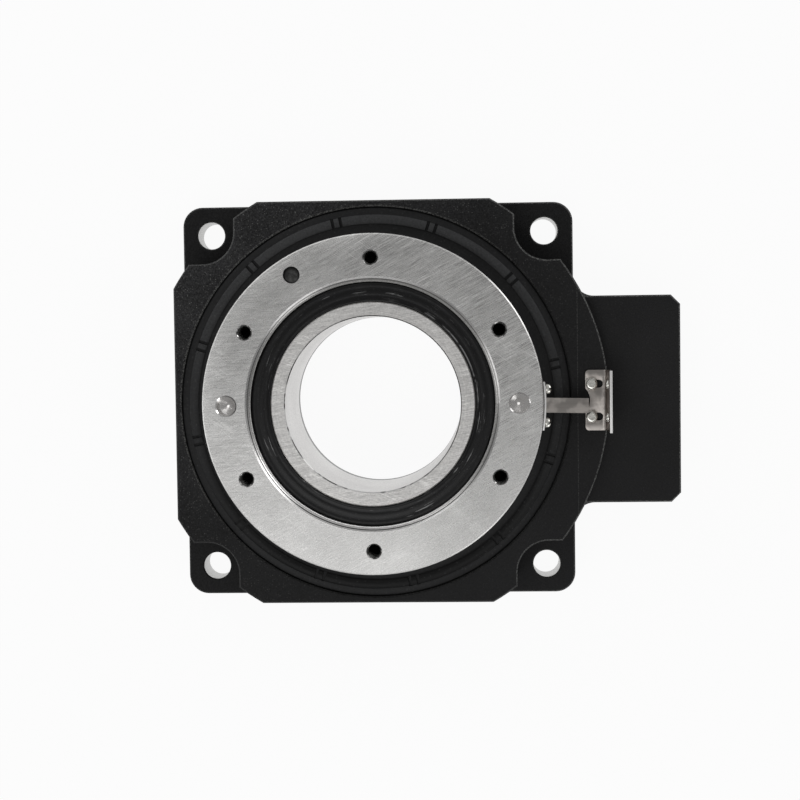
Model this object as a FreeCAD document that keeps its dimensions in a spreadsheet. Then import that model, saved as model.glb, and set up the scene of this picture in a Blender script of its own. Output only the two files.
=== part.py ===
# Hollow rotary platform: a steel table on a crossed-roller bearing round a fixed hollow hub,
# turned through a ring gear by a pinion that a motor under the side extension drives.
# Millimetres. +Z is up along the table's axis, and the origin is on that axis at the base face.
# "across" is the distance from an axis, "level" is the height above the base face.
import FreeCAD, Part
import math
import os
import Sketcher

doc = FreeCAD.newDocument("rotary_platform")
sheet = doc.addObject("Spreadsheet::Sheet", "size")
pieces = []

SIZES = [
    ("past", 1.0, "how far a cut runs past the face it opens"),
    ("fit_play", 0.02, "radial play of a located fit"),
    ("part_gap", 0.2, "gap round a plate in its recess"),
    ("thread_depth", 0.25, "M3 tapped hole, radius below the nominal one"),
    ("thread_run", 0.5, "a tapped hole is deeper than its screw"),
    ("screw_play", 0.15, "radial play of a screw in the piece it holds"),
    ("plate_border", 2.0, "ear plate beyond the outer seal"),
    ("plate_thick", 11.5, "ear plate"),
    ("plate_corner", 6.5, "ear plate's corner radius"),
    ("ear_inset", 9.5, "ear holes from the plate's sides"),
    ("ear_hole_dia", 9.0, "M8 clearance"),
    ("ear_hole_break", 0.4, "chamfer round an ear hole"),
    ("ear_seat_radius", 10.3, "corner pocket round an ear hole"),
    ("boss_wall", 12.0, "round boss beyond the outer seal"),
    ("edge_break", 0.5, "chamfer on the housing's top edges"),
    ("extension_end_wall", 3.5, "motor extension beyond the adapter"),
    ("extension_side_wall", 2.5, "motor extension beside the adapter"),
    ("extension_roof", 2.0, "over the pinion's upper bearing"),
    ("extension_corner", 3.0, "chamfered corners of the extension"),
    ("extension_fillet", 6.0, "between extension and boss"),
    ("floor_level", 8.5, "housing floor under the gear"),
    ("pinion_deck_gap", 0.3, "under the pinion's teeth"),
    ("gear_tip_gap", 2.7, "gear chamber round the ring gear's teeth"),
    ("cover_recess", 0.3, "covers set back from the base face"),
    ("seal_play", 0.05, "radial play at a sealing lip"),
    ("sleeve_bore_dia", 55.4, "hollow bore"),
    ("sleeve_wall", 4.5, "fixed centre sleeve"),
    ("sleeve_drop", 2.8, "centre sleeve below the table's top"),
    ("sleeve_break", 0.6, "chamfer at the sleeve's ends"),
    ("bearing_seat_step", 0.8, "hub under the bearing, outside the sleeve"),
    ("bearing_section", 14.0, "crossed-roller bearing, from bore to outside"),
    ("bearing_width", 11.0, "crossed-roller bearing"),
    ("roller_circle_shift", 0.2, "rollers outside the middle of the section"),
    ("roller_dia", 5.9, "crossed rollers"),
    ("roller_length", 5.6, "crossed rollers"),
    ("roller_play", 0.1, "raceway wider than a roller"),
    ("roller_count", 30, "crossed rollers, an even number"),
    ("spacer_thick", 1.4, "between two rollers"),
    ("spacer_play", 0.3, "from a spacer to the raceway"),
    ("ring_gap", 0.6, "between the two bearing rings"),
    ("ring_break", 0.5, "chamfer on the bearing rings"),
    ("hub_shoulder_step", 5.0, "shoulder under the bearing"),
    ("hub_flange_step", 7.0, "foot of the hub beyond the shoulder"),
    ("hub_flange_thick", 3.0, "foot of the hub"),
    ("hub_screw_inset", 3.8, "screws from the foot's edge"),
    ("hub_screw_dia", 3.0, "M3"),
    ("hub_screw_length", 6.0, "M3"),
    ("hub_screw_head_dia", 5.6, "countersunk head"),
    ("hub_screw_count", 8, "round the hub's foot"),
    ("gasket_thick", 0.4, "under the hub's foot"),
    ("nut_wall", 6.3, "bearing lock nut round the sleeve"),
    ("nut_width", 4.0, "bearing lock nut"),
    ("nut_slot_width", 5.0, "spanner slots"),
    ("nut_slot_depth", 2.0, "spanner slots"),
    ("nut_slot_count", 4, "spanner slots"),
    ("table_rise", 16.4, "top of the table above the housing"),
    ("table_overhang", 2.5, "table beyond its skirt"),
    ("table_break", 0.4, "table's outer edge"),
    ("table_rim_width", 1.5, "table's inner top edge outside the inner seal"),
    ("table_rim_drop", 1.0, "bevel under the inner edge"),
    ("table_lip_drop", 1.8, "ledge above the inner seal, below the table's top"),
    ("table_bore_gap", 1.0, "table round the sleeve"),
    ("table_shoulder_grip", 4.0, "table over the bearing's outer ring"),
    ("nut_gap", 1.0, "table above the lock nut"),
    ("skirt_wall", 4.0, "table's skirt round the bearing"),
    ("gear_top_gap", 0.4, "between the gears and the table's shoulder"),
    ("bolt_inset", 7.5, "mounting holes from the table's edge"),
    ("bolt_hole_dia", 4.2, "M5 tapping size"),
    ("bolt_mouth_dia", 4.9, "countersunk mouth"),
    ("bolt_hole_depth", 10.0, "M5"),
    ("bolt_count", 6, "round the table"),
    ("bolt_angle", 30.0, "first hole"),
    ("dowel_dia", 6.0, "locating holes"),
    ("dowel_mouth_dia", 6.8, "countersunk mouth"),
    ("dowel_depth", 6.5, "locating holes"),
    ("plug_offset", 1.7, "filler hole outside the bolt circle"),
    ("plug_angle", 121.2, "filler hole"),
    ("plug_dia", 5.3, "filler plug"),
    ("plug_length", 4.0, "filler plug"),
    ("plug_recess", 0.5, "filler plug below the table"),
    ("outer_seal_width", 9.5, "seal between table and housing"),
    ("seal_seat_wall", 1.1, "under the outer seal, over the pinion's bearing"),
    ("outer_seal_height", 6.0, "outer seal"),
    ("outer_seal_step", 0.5, "flat of the seal below its raised band"),
    ("outer_seal_edge", 2.7, "flat outside the raised band"),
    ("outer_seal_lip", 4.0, "flat inside the raised band"),
    ("outer_seal_slope", 0.3, "sides of the raised band"),
    ("inner_seal_width", 6.3, "seal between sleeve and table"),
    ("inner_seal_drop", 1.4, "seal below the table's ledge"),
    ("inner_seal_height", 4.8, "inner seal"),
    ("inner_seal_groove", 0.5, "depth of the grooves in its face"),
    ("inner_seal_groove_width", 1.0, "outer groove"),
    ("inner_seal_slope", 0.4, "sides of the grooves"),
    ("inner_seal_edge", 1.2, "land outside the grooves"),
    ("inner_seal_ridge", 0.8, "land between the grooves"),
    ("inner_seal_lip", 0.5, "land inside the grooves"),
    ("gear_module", 1.5, "both gears"),
    ("tooth_tip", 1.0, "height above the pitch circle, in modules"),
    ("tooth_root", 1.25, "depth below the pitch circle, in modules"),
    ("ring_rim", 2.925, "between the skirt and the roots of the ring gear"),
    ("pinion_teeth", 15, "pinion"),
    ("pressure_angle", 20.0, "both gears"),
    ("tooth_shift", 0.3, "profile shift, plus on the pinion and minus on the ring"),
    ("tooth_backlash", 0.16, "shared by the two gears"),
    ("gear_face_width", 6.8, "both gears"),
    ("gear_flange_grip", 5.5, "flange under the bearing's outer ring"),
    ("gear_flange_lap", 1.0, "flange beyond the skirt"),
    ("gear_floor_gap", 1.7, "flange above the housing's floor"),
    ("gear_flange_thick", 2.8, "flange of the ring gear"),
    ("gear_flange_gap", 0.7, "flange to the lower chamber"),
    ("gear_screw_dia", 3.0, "M3"),
    ("gear_screw_head_dia", 5.4, "countersunk head"),
    ("gear_screw_length", 8.0, "M3"),
    ("gear_screw_count", 12, "M3"),
    ("shaft_wall", 2.0, "pinion shaft round the motor's shaft"),
    ("ball_section", 3.0, "pinion bearings, from bore to outside"),
    ("ball_width", 4.0, "pinion bearings"),
    ("ball_dia", 1.6, "pinion bearings"),
    ("ball_count", 13, "in each pinion bearing"),
    ("ball_play", 0.05, "radial play of a ball in its race"),
    ("race_gap", 1.0, "between the two rings of a pinion bearing"),
    ("race_lip", 0.25, "a race's mouth beyond its balls"),
    ("race_flat", 0.45, "flat of a race, as a share of the ball's radius"),
    ("collar_top_gap", 0.3, "between the clamp collar and the lip over it"),
    ("shaft_shoulder_step", 1.0, "shoulders beside the pinion"),
    ("shaft_head_gap", 0.4, "above the pinion shaft"),
    ("motor_bore_dia", 8.0, "motor shaft"),
    ("shaft_end_wall", 2.1, "pinion shaft over the motor's shaft"),
    ("clamp_slit", 1.0, "slit in the clamped end"),
    ("collar_wall", 5.0, "clamp collar round the pinion shaft"),
    ("collar_width", 5.1, "clamp collar"),
    ("clamp_play", 0.1, "radial play of the clamp screw"),
    ("clamp_screw_dia", 2.5, "M2.5 clamp screw"),
    ("clamp_screw_length", 6.5, "M2.5 clamp screw"),
    ("clamp_head_dia", 4.4, "head of the clamp screw"),
    ("clamp_head_height", 2.0, "head of the clamp screw"),
    ("clamp_head_seat", 1.8, "from the slit to the head"),
    ("clamp_socket_dia", 2.2, "socket in the clamp screw"),
    ("clamp_screw_inset", 2.0, "clamp screw from the pinion shaft"),
    ("washer_thick", 0.3, "preload washer over the upper bearing"),
    ("washer_width", 0.7, "preload washer"),
    ("adapter_thick", 6.5, "motor adapter"),
    ("adapter_end_margin", 3.83, "adapter beyond the motor's bolts"),
    ("adapter_side_margin", 7.43, "adapter beside the motor's bolts"),
    ("adapter_gap", 1.5, "between the hub's foot and the adapter"),
    ("boss_tip_gap", 0.2, "adapter's boss beyond the pinion's teeth"),
    ("adapter_boss_play", 0.1, "radial play of the boss in the housing"),
    ("collar_gap", 0.7, "round the clamp collar"),
    ("adapter_lip_step", 1.2, "lip under the lower pinion bearing"),
    ("adapter_lip_thick", 0.8, "under the lower pinion bearing"),
    ("adapter_screw_x", 13.0, "from the pinion axis, along X"),
    ("adapter_screw_inset", 4.0, "from the adapter's sides"),
    ("adapter_screw_dia", 3.0, "M3 countersunk"),
    ("adapter_screw_head_dia", 5.6, "countersunk head"),
    ("adapter_screw_length", 10.0, "M3"),
    ("motor_spacing", 47.14, "57 mm motor flange"),
    ("motor_hole_dia", 4.2, "M5 tapping size"),
    ("motor_pilot_dia", 38.2, "motor's spigot"),
    ("motor_pilot_depth", 1.9, "motor's spigot"),
    ("access_dia", 3.0, "hexagon key to the clamp screw"),
    ("access_plug_length", 3.0, "closes the key's hole"),
    ("bracket_inset", 4.35, "sensor bracket outside the outer seal"),
    ("bracket_depth", 6.65, "from its inner edge to its upright flange"),
    ("bracket_width", 19.4, "sensor bracket"),
    ("bracket_height", 15.2, "sensor bracket"),
    ("bracket_sheet", 0.8, "sheet thickness"),
    ("bracket_bend", 1.0, "inside bend radius"),
    ("bracket_corner", 1.2, "rounded corners"),
    ("bracket_screw_inset", 1.95, "screws from the bracket's inner edge"),
    ("bracket_screw_spacing", 10.5, "between the two screws"),
    ("bracket_slot_width", 2.5, "adjusting slots"),
    ("bracket_slot_length", 2.4, "between the centres of a slot's ends"),
    ("bracket_notch_width", 7.6, "hollow in its inner edge"),
    ("bracket_notch_depth", 1.5, "hollow in its inner edge"),
    ("sensor_hole_dia", 2.2, "holes for a sensor"),
    ("sensor_hole_rise", 8.0, "holes above the housing"),
    ("small_screw_dia", 2.0, "M2"),
    ("small_head_dia", 3.5, "socket head"),
    ("small_head_height", 2.0, "socket head"),
    ("small_head_break", 0.2, "socket head's top edge"),
    ("small_socket_dia", 1.5, "socket"),
    ("small_socket_depth", 1.0, "socket"),
    ("small_screw_length", 5.0, "M2 under its washer"),
    ("small_washer_dia", 3.8, "M2 lock washer"),
    ("small_washer_thick", 0.4, "M2 lock washer"),
    ("small_hole_dia", 1.6, "M2 tapping size"),
    ("flag_angle", -1.2, "middle of the sensor flag"),
    ("flag_sheet", 0.8, "sheet thickness"),
    ("flag_width", 15.2, "sensor flag round the table"),
    ("flag_rise", 6.4, "underside of the flag above the housing"),
    ("flag_height", 8.0, "sensor flag"),
    ("flag_strip_width", 4.7, "strip that passes the sensor"),
    ("flag_overlap", 0.65, "strip past the bracket's inner edge"),
    ("flag_screw_spacing", 10.7, "between its two screws"),
    ("flag_screw_rise", 4.4, "screws above the flag's underside"),
    ("flag_head_dia", 3.2, "pan head"),
    ("flag_head_height", 1.8, "pan head"),
    ("flag_screw_length", 4.0, "M2 into the table"),
]


def fill_sheet():
    for row, (alias, value, note) in enumerate(SIZES, 1):
        sheet.set("A%d" % row, alias)
        sheet.set("B%d" % row, str(value))
        sheet.set("C%d" % row, note)
        sheet.setAlias("B%d" % row, alias)
    doc.recompute()


def number(text):
    """The value of an expression in the sheet's sizes."""
    return float(sheet.evalExpression(text))


# Bodies, sketches and features

def new_body(label):
    body = doc.addObject("PartDesign::Body", label)
    body.Label = label
    body.AllowCompound = True
    pieces.append(body)
    return body


def origin_feature(body, role):
    for feature in body.Origin.OriginFeatures:
        if feature.Role == role:
            return feature
    raise ValueError(role)


def bind(item, prop, text):
    item.setExpression(prop, text)


def new_sketch(body, name, role, offset=("0", "0", "0")):
    sketch = body.newObject("Sketcher::SketchObject", name)
    sketch.AttachmentSupport = [(origin_feature(body, role), "")]
    sketch.MapMode = "FlatFace"
    for letter, text in zip("xyz", offset):
        bind(sketch, "AttachmentOffset.Base." + letter, text)
    return sketch


def pin_point(sketch, geometry, end, across, up):
    """Dimensions one point of a sketch from the sketch's origin."""
    for kind, text in (("DistanceX", across), ("DistanceY", up)):
        if text is None:
            continue
        index = sketch.addConstraint(Sketcher.Constraint(kind, -1, 1, geometry, end, number(text)))
        bind(sketch, "Constraints[%d]" % index, text)


def outline(sketch, points):
    """A closed outline. A point is (across, up), or (across, up, turn) where an arc about
    the sketch's origin runs from it to the next point, turn being "left" or "right"."""
    count = len(points)
    first = sketch.GeometryCount
    spots = [FreeCAD.Vector(number(point[0]), number(point[1]), 0) for point in points]
    ends = []
    for index, point in enumerate(points):
        here = spots[index]
        there = spots[(index + 1) % count]
        if len(point) == 2:
            sketch.addGeometry(Part.LineSegment(here, there), False)
            ends.append((1, 2))
            continue
        start, stop = (here, there) if point[2] == "left" else (there, here)
        circle = Part.Circle(FreeCAD.Vector(), FreeCAD.Vector(0, 0, 1), here.Length)
        sweep = [math.atan2(spot.y, spot.x) for spot in (start, stop)]
        sketch.addGeometry(Part.ArcOfCircle(circle, sweep[0], sweep[1]), False)
        ends.append((1, 2) if point[2] == "left" else (2, 1))
    for index, point in enumerate(points):
        after = (index + 1) % count
        sketch.addConstraint(Sketcher.Constraint(
            "Coincident", first + index, ends[index][1], first + after, ends[after][0]))
        if len(point) == 3:
            sketch.addConstraint(Sketcher.Constraint("Coincident", first + index, 3, -1, 1))
        after_arc = len(points[index - 1]) == 3
        pin_point(sketch, first + index, ends[index][0], None if after_arc else point[0], point[1])


def box_outline(sketch, low, high):
    outline(sketch, [low, (high[0], low[1]), high, (low[0], high[1])])


def circle_outline(sketch, across, up, radius):
    centre = FreeCAD.Vector(number(across), number(up), 0)
    index = sketch.addGeometry(Part.Circle(centre, FreeCAD.Vector(0, 0, 1), number(radius)), False)
    pin_point(sketch, index, 3, across, up)
    size = sketch.addConstraint(Sketcher.Constraint("Radius", index, number(radius)))
    bind(sketch, "Constraints[%d]" % size, radius)


def pad(body, sketch, length, both_ways=False):
    feature = body.newObject("PartDesign::Pad", sketch.Name + "_pad")
    feature.Profile = sketch
    feature.Midplane = both_ways
    bind(feature, "Length", length)
    doc.recompute()
    return feature


def pocket_up(body, sketch, length):
    """Cuts upwards from the sketch's plane."""
    feature = body.newObject("PartDesign::Pocket", sketch.Name + "_cut")
    feature.Profile = sketch
    feature.Reversed = True
    bind(feature, "Length", length)
    doc.recompute()
    return feature


def turn(body, name, kind, points, axis=("0", "0")):
    """Turns a profile of (across, level) points about an upright axis at (x, y)."""
    offset = (axis[0], "0", "-(%s)" % axis[1])
    sketch = new_sketch(body, name + "_profile", "XZ_Plane", offset)
    outline(sketch, points)
    feature = body.newObject("PartDesign::" + kind, name)
    feature.Profile = sketch
    feature.ReferenceAxis = (sketch, ["V_Axis"])
    feature.Angle = 360
    doc.recompute()
    return feature


def turned_body(label, points, axis=("0", "0")):
    body = new_body(label)
    turn(body, label + "_turned", "Revolution", points, axis)
    return body


def bore(body, name, points, axis=("0", "0")):
    return turn(body, name, "Groove", points, axis)


def around(body, feature, count):
    """Repeats a feature round the main axis."""
    pattern = body.newObject("PartDesign::PolarPattern", feature.Name + "_ring")
    pattern.Originals = [feature]
    pattern.Axis = (origin_feature(body, "Z_Axis"), [""])
    pattern.Angle = 360
    bind(pattern, "Occurrences", count)
    body.Tip = pattern
    doc.recompute()
    return pattern


def mirrored(body, feature):
    """Repeats a feature across the XZ plane."""
    mirror = body.newObject("PartDesign::Mirrored", feature.Name + "_pair")
    mirror.Originals = [feature]
    mirror.MirrorPlane = (origin_feature(body, "XZ_Plane"), [""])
    body.Tip = mirror
    doc.recompute()
    return mirror


def rod(body, name, kind, radius, length, start, direction):
    """A plain cylinder, kind Additive or Subtractive, from a start point along a direction."""
    feature = body.newObject("PartDesign::%sCylinder" % kind, name)
    up = FreeCAD.Vector(0, 0, 1)
    feature.Placement = FreeCAD.Placement(FreeCAD.Vector(), FreeCAD.Rotation(up, direction))
    bind(feature, "Radius", radius)
    bind(feature, "Height", length)
    for letter, text in zip("xyz", start):
        bind(feature, "Placement.Base." + letter, text)
    doc.recompute()
    return feature


def dress(body, kind, size_name, size, edges):
    """A Fillet or a Chamfer on edges of the body's last feature."""
    base = body.Tip
    feature = body.newObject("PartDesign::" + kind, base.Name + "_" + kind.lower())
    feature.Base = (base, edges)
    bind(feature, size_name, size)
    doc.recompute()
    return feature


def upright_edges(body, spots):
    """Names of the upright edges that stand at the given (x, y) places."""
    names = []
    for index, edge in enumerate(body.Tip.Shape.Edges, 1):
        ends = [vertex.Point for vertex in edge.Vertexes]
        if len(ends) < 2 or abs(ends[0].z - ends[1].z) < 0.1:
            continue
        for x, y in spots:
            if all(math.hypot(end.x - x, end.y - y) < 0.01 for end in ends):
                names.append("Edge%d" % index)
    return names


def edges_at_level(body, level, keep):
    """Names of the edges that lie at a level and whose middle passes the keep test."""
    names = []
    for index, edge in enumerate(body.Tip.Shape.Edges, 1):
        box = edge.BoundBox
        if abs(box.ZMin - level) > 0.001 or abs(box.ZMax - level) > 0.001:
            continue
        middle = edge.valueAt((edge.FirstParameter + edge.LastParameter) / 2)
        if keep(middle):
            names.append("Edge%d" % index)
    return names


# Expressions in the sheet's sizes

def less(text, amount):
    return "((%s) - (%s))" % (text, amount)


def plus(text, amount):
    return "((%s) + (%s))" % (text, amount)


def minus(text):
    return "-(%s)" % text


def half(name):
    return "size.%s / 2" % name


# Radii about the main axis, from the hollow bore outwards

sleeve_radius = plus(half("sleeve_bore_dia"), "size.sleeve_wall")
hub_radius = plus(sleeve_radius, "size.bearing_seat_step")
hub_shoulder = plus(hub_radius, "size.hub_shoulder_step")
hub_foot = plus(hub_shoulder, "size.hub_flange_step")
hub_screw_circle = less(hub_foot, "size.hub_screw_inset")
nut_radius = plus(sleeve_radius, "size.nut_wall")
inner_seal_wall = plus(sleeve_radius, "size.inner_seal_width")
roller_circle = plus(hub_radius, "size.bearing_section / 2 + size.roller_circle_shift")
bearing_wall = plus(hub_radius, "size.bearing_section")
table_shoulder = less(bearing_wall, "size.table_shoulder_grip")
skirt_radius = plus(bearing_wall, "size.skirt_wall")
gear_screw_circle = less(skirt_radius, half("skirt_wall"))
gear_flange = plus(skirt_radius, "size.gear_flange_lap")
lower_chamber = plus(gear_flange, "size.gear_flange_gap")
table_radius = plus(skirt_radius, "size.table_overhang")
bolt_circle = less(table_radius, "size.bolt_inset")
plug_circle = plus(bolt_circle, "size.plug_offset")
outer_seal_wall = plus(table_radius, "size.outer_seal_width")
boss_radius = plus(outer_seal_wall, "size.boss_wall")
half_side = plus(outer_seal_wall, "size.plate_border")
half_ears = less(half_side, "size.ear_inset")
pocket_edge = less(half_ears, "size.ear_seat_radius")
outside = plus(boss_radius, "size.past")
plug_axis = (plug_circle + " * cos(size.plug_angle)", plug_circle + " * sin(size.plug_angle)")

# The gears, the pinion's place and the radii about its axis

ring_teeth = "round(2 * (%s + size.ring_rim) / size.gear_module + 2 * (%s))" % (
    skirt_radius, "size.tooth_root + size.tooth_shift")
ring_tip = "size.gear_module * (%s / 2 + size.tooth_tip - size.tooth_shift)" % ring_teeth
gear_chamber = plus(ring_tip, "size.gear_tip_gap")
pinion_tip = "size.gear_module * (size.pinion_teeth / 2 + size.tooth_tip + size.tooth_shift)"
pinion_x = "(size.gear_module * (%s + size.pinion_teeth) / 2)" % ring_teeth
pinion = (pinion_x, "0")
journal = plus(half("motor_bore_dia"), "size.shaft_wall")
race_wall = plus(journal, "size.ball_section")
collar_radius = plus(journal, "size.collar_wall")
key_y = plus(journal, "size.clamp_screw_inset")
adapter_boss = plus(pinion_tip, "size.boss_tip_gap")
adapter_side = plus(half("motor_spacing"), "size.adapter_side_margin")
adapter_reach = plus(pinion_x, "size.motor_spacing / 2 + size.adapter_end_margin")
adapter_screw_y = less(adapter_side, "size.adapter_screw_inset")
extension_side = plus(adapter_side, "size.extension_side_wall")
extension_reach = plus(adapter_reach, "size.extension_end_wall")

# Levels, from the base face upwards

flange_top = "size.cover_recess + size.hub_flange_thick"
hub_seat = plus(flange_top, "size.gasket_thick")
adapter_top = "size.cover_recess + size.adapter_thick"
gear_low = plus("size.floor_level", "size.gear_floor_gap")
bearing_level = plus(gear_low, "size.gear_flange_thick")
bearing_top = plus(bearing_level, "size.bearing_width")
roller_level = plus(bearing_level, half("bearing_width"))
nut_top = plus(bearing_top, "size.nut_width")
table_roof = plus(nut_top, "size.nut_gap")
gear_high = plus(bearing_level, "size.gear_face_width")
skirt_top = plus(gear_high, "size.gear_top_gap")
pinion_deck = less(bearing_level, "size.pinion_deck_gap")
lower_race = less(pinion_deck, "size.ball_width")
upper_race = skirt_top
upper_race_top = plus(upper_race, "size.ball_width")
washer_top = plus(upper_race_top, "size.washer_thick")
lip_low = less(lower_race, "size.adapter_lip_thick")
collar_top = less(lip_low, "size.collar_top_gap")
shaft_foot = less(collar_top, "size.collar_width")
shaft_head = less(washer_top, "size.shaft_head_gap")
key_level = plus(shaft_foot, half("collar_width"))
extension_level = plus(washer_top, "size.extension_roof")
seal_seat = plus(washer_top, "size.seal_seat_wall")
deck_level = plus(seal_seat, "size.outer_seal_height")
table_level = plus(deck_level, "size.table_rise")
sleeve_level = less(table_level, "size.sleeve_drop")
table_lip = less(table_level, "size.table_lip_drop")
inner_seal_top = less(table_lip, "size.inner_seal_drop")
seal_floor = less(inner_seal_top, "size.inner_seal_height")
under = "-size.past"
over_deck = plus(deck_level, "size.past")
over_table = plus(table_level, "size.past")

# The sensor bracket and the flag

bracket_x = plus(outer_seal_wall, "size.bracket_inset")
bracket_screw_x = plus(bracket_x, "size.bracket_screw_inset")
bracket_slot_end = plus(bracket_screw_x, "size.bracket_slot_length")
bracket_flange_x = plus(bracket_x, "size.bracket_depth")
bracket_hole = (bracket_screw_x, half("bracket_screw_spacing"))
flag_low = plus(deck_level, "size.flag_rise")
flag_high = plus(flag_low, "size.flag_height")
flag_screw_level = plus(flag_low, "size.flag_screw_rise")
flag_reach = plus(bracket_x, "size.flag_overlap")


# Housing

def housing():
    body = new_body("housing")
    plate = new_sketch(body, "ear_plate", "XY_Plane")
    box_outline(plate, (minus(half_side), minus(half_side)), (half_side, half_side))
    pad(body, plate, "size.plate_thick")
    reach = number(half_side)
    plate_corners = [(x * reach, y * reach) for x in (-1, 1) for y in (-1, 1)]
    dress(body, "Fillet", "Radius", "size.plate_corner", upright_edges(body, plate_corners))
    top_edges = edges_at_level(body, number("size.plate_thick"), lambda spot: True)
    dress(body, "Chamfer", "Size", "size.edge_break", top_edges)

    wide = extension_side
    cut = "size.extension_corner"
    extension = new_sketch(body, "extension", "XY_Plane")
    outline(extension, [
        ("0", minus(wide)), (less(extension_reach, cut), minus(wide)),
        (extension_reach, less(cut, wide)), (extension_reach, less(wide, cut)),
        (less(extension_reach, cut), wide), ("0", wide)])
    pad(body, extension, extension_level)
    top_edges = edges_at_level(body, number(extension_level), lambda spot: spot.x > 1)
    dress(body, "Chamfer", "Size", "size.edge_break", top_edges)

    disc = new_sketch(body, "upper_disc", "XY_Plane")
    circle_outline(disc, "0", "0", boss_radius)
    pad(body, disc, deck_level)
    flats = new_sketch(body, "three_flats", "XY_Plane")
    outline(flats, [
        (outside, half_side), (minus(half_side), half_side),
        (minus(half_side), minus(half_side)), (outside, minus(half_side)),
        (outside, minus(outside)), (minus(outside), minus(outside)),
        (minus(outside), outside), (outside, outside)])
    pocket_up(body, flats, deck_level)

    corner = new_sketch(body, "ear_pocket", "XY_Plane", ("0", "0", "size.plate_thick"))
    box_outline(corner, (pocket_edge, pocket_edge), (outside, outside))
    around(body, pocket_up(body, corner, deck_level), "4")
    inner = number(pocket_edge)
    inner_corners = [(x * inner, y * inner) for x in (-1, 1) for y in (-1, 1)]
    dress(body, "Fillet", "Radius", "size.ear_seat_radius", upright_edges(body, inner_corners))

    side = number(wide)
    meeting = math.sqrt(number(boss_radius) ** 2 - side ** 2)
    roots = upright_edges(body, [(meeting, side), (meeting, -side)])
    dress(body, "Fillet", "Radius", "size.extension_fillet", roots)

    chambers(body)
    pinion_bores(body)
    housing_holes(body)
    housing_edges(body)


def chambers(body):
    """The stepped bore that the hub, the gear and the outer seal sit in."""
    recess = plus(hub_foot, "size.part_gap")
    floor_hole = plus(hub_shoulder, "size.fit_play")
    bore(body, "main_bore", [
        ("0", under), (recess, under), (recess, hub_seat), (floor_hole, hub_seat),
        (floor_hole, "size.floor_level"), (lower_chamber, "size.floor_level"),
        (lower_chamber, pinion_deck), (gear_chamber, pinion_deck),
        (gear_chamber, seal_seat), (outer_seal_wall, seal_seat),
        (outer_seal_wall, over_deck), ("0", over_deck)])


def pinion_bores(body):
    """Recess for the motor adapter, and the bores over it for the pinion and its upper bearing."""
    inner_edge = plus(hub_foot, "size.adapter_gap - size.part_gap")
    wide = plus(adapter_side, "size.part_gap")
    start_x = "sqrt((%s)^2 - (%s)^2)" % (inner_edge, wide)
    recess = new_sketch(body, "adapter_recess", "XY_Plane")
    far = plus(adapter_reach, "size.part_gap")
    outline(recess, [
        (start_x, wide, "right"), (start_x, minus(wide)), (far, minus(wide)), (far, wide)])
    pocket_up(body, recess, adapter_top)
    chamber = plus(adapter_boss, "size.adapter_boss_play")
    seat = plus(race_wall, "size.fit_play")
    bore(body, "pinion_bore", [
        ("0", "0"), (chamber, "0"), (chamber, upper_race), (seat, upper_race),
        (seat, washer_top), ("0", washer_top)], pinion)


def housing_holes(body):
    ear = half("ear_hole_dia")
    edge = plus(ear, "size.ear_hole_break")
    ears = bore(body, "ear_hole", [
        ("0", under), (ear, under), (ear, less("size.plate_thick", "size.ear_hole_break")),
        (edge, "size.plate_thick"), (edge, over_deck), ("0", over_deck)], (half_ears, half_ears))
    around(body, ears, "4")

    thread = less(half("hub_screw_dia"), "size.thread_depth")
    depth = "size.cover_recess + size.hub_screw_length + size.thread_run"
    foot = bore(body, "hub_thread", [
        ("0", hub_seat), (thread, hub_seat), (thread, depth), ("0", depth)],
        (hub_screw_circle, "0"))
    around(body, foot, "size.hub_screw_count")

    depth = "size.cover_recess + size.adapter_screw_length + size.thread_run"
    thread = less(half("adapter_screw_dia"), "size.thread_depth")
    for name, side in (("near", "-"), ("far", "+")):
        x = "(%s) %s size.adapter_screw_x" % (pinion_x, side)
        hole = bore(body, "adapter_thread_" + name, [
            ("0", "0"), (thread, "0"), (thread, depth), ("0", depth)], (x, adapter_screw_y))
        mirrored(body, hole)

    low = less(deck_level, "size.small_screw_length + size.thread_run")
    tap = half("small_hole_dia")
    mirrored(body, bore(body, "bracket_thread", [
        ("0", low), (tap, low), (tap, over_deck), ("0", over_deck)], bracket_hole))

    rod(body, "key_hole", "Subtractive", half("access_dia"),
        less(plus(extension_reach, "size.past"), pinion_x), (pinion_x, key_y, key_level),
        FreeCAD.Vector(1, 0, 0))


def housing_edges(body):
    """Breaks the top edges of the deck."""
    seal = number(outer_seal_wall)
    apart = number("size.small_screw_dia")
    screw_x = number(bracket_screw_x)
    screw_y = number("size.bracket_screw_spacing / 2")

    def on_deck(spot):
        from_screw = math.hypot(spot.x - screw_x, abs(spot.y) - screw_y)
        return math.hypot(spot.x, spot.y) > seal - 0.1 and from_screw > apart

    edges = edges_at_level(body, number(deck_level), on_deck)
    dress(body, "Chamfer", "Size", "size.edge_break", edges)


# Fixed hub and what holds it

def centre_hub():
    inner = half("sleeve_bore_dia")
    end = "size.sleeve_break"
    body = turned_body("centre_hub", [
        (plus(inner, end), "size.cover_recess"), (hub_foot, "size.cover_recess"),
        (hub_foot, flange_top), (hub_shoulder, flange_top), (hub_shoulder, bearing_level),
        (hub_radius, bearing_level), (hub_radius, bearing_top), (sleeve_radius, bearing_top),
        (sleeve_radius, less(sleeve_level, "size.sleeve_break / 2")),
        (less(sleeve_radius, "size.sleeve_break / 2"), sleeve_level),
        (plus(inner, "size.sleeve_break / 2"), sleeve_level),
        (inner, less(sleeve_level, "size.sleeve_break / 2")),
        (inner, plus("size.cover_recess", end))])
    seats = screw_seat(body, "hub_screw_seat", "hub_screw", flange_top,
                       (hub_screw_circle, "0"))
    around(body, seats, "size.hub_screw_count")


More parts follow.
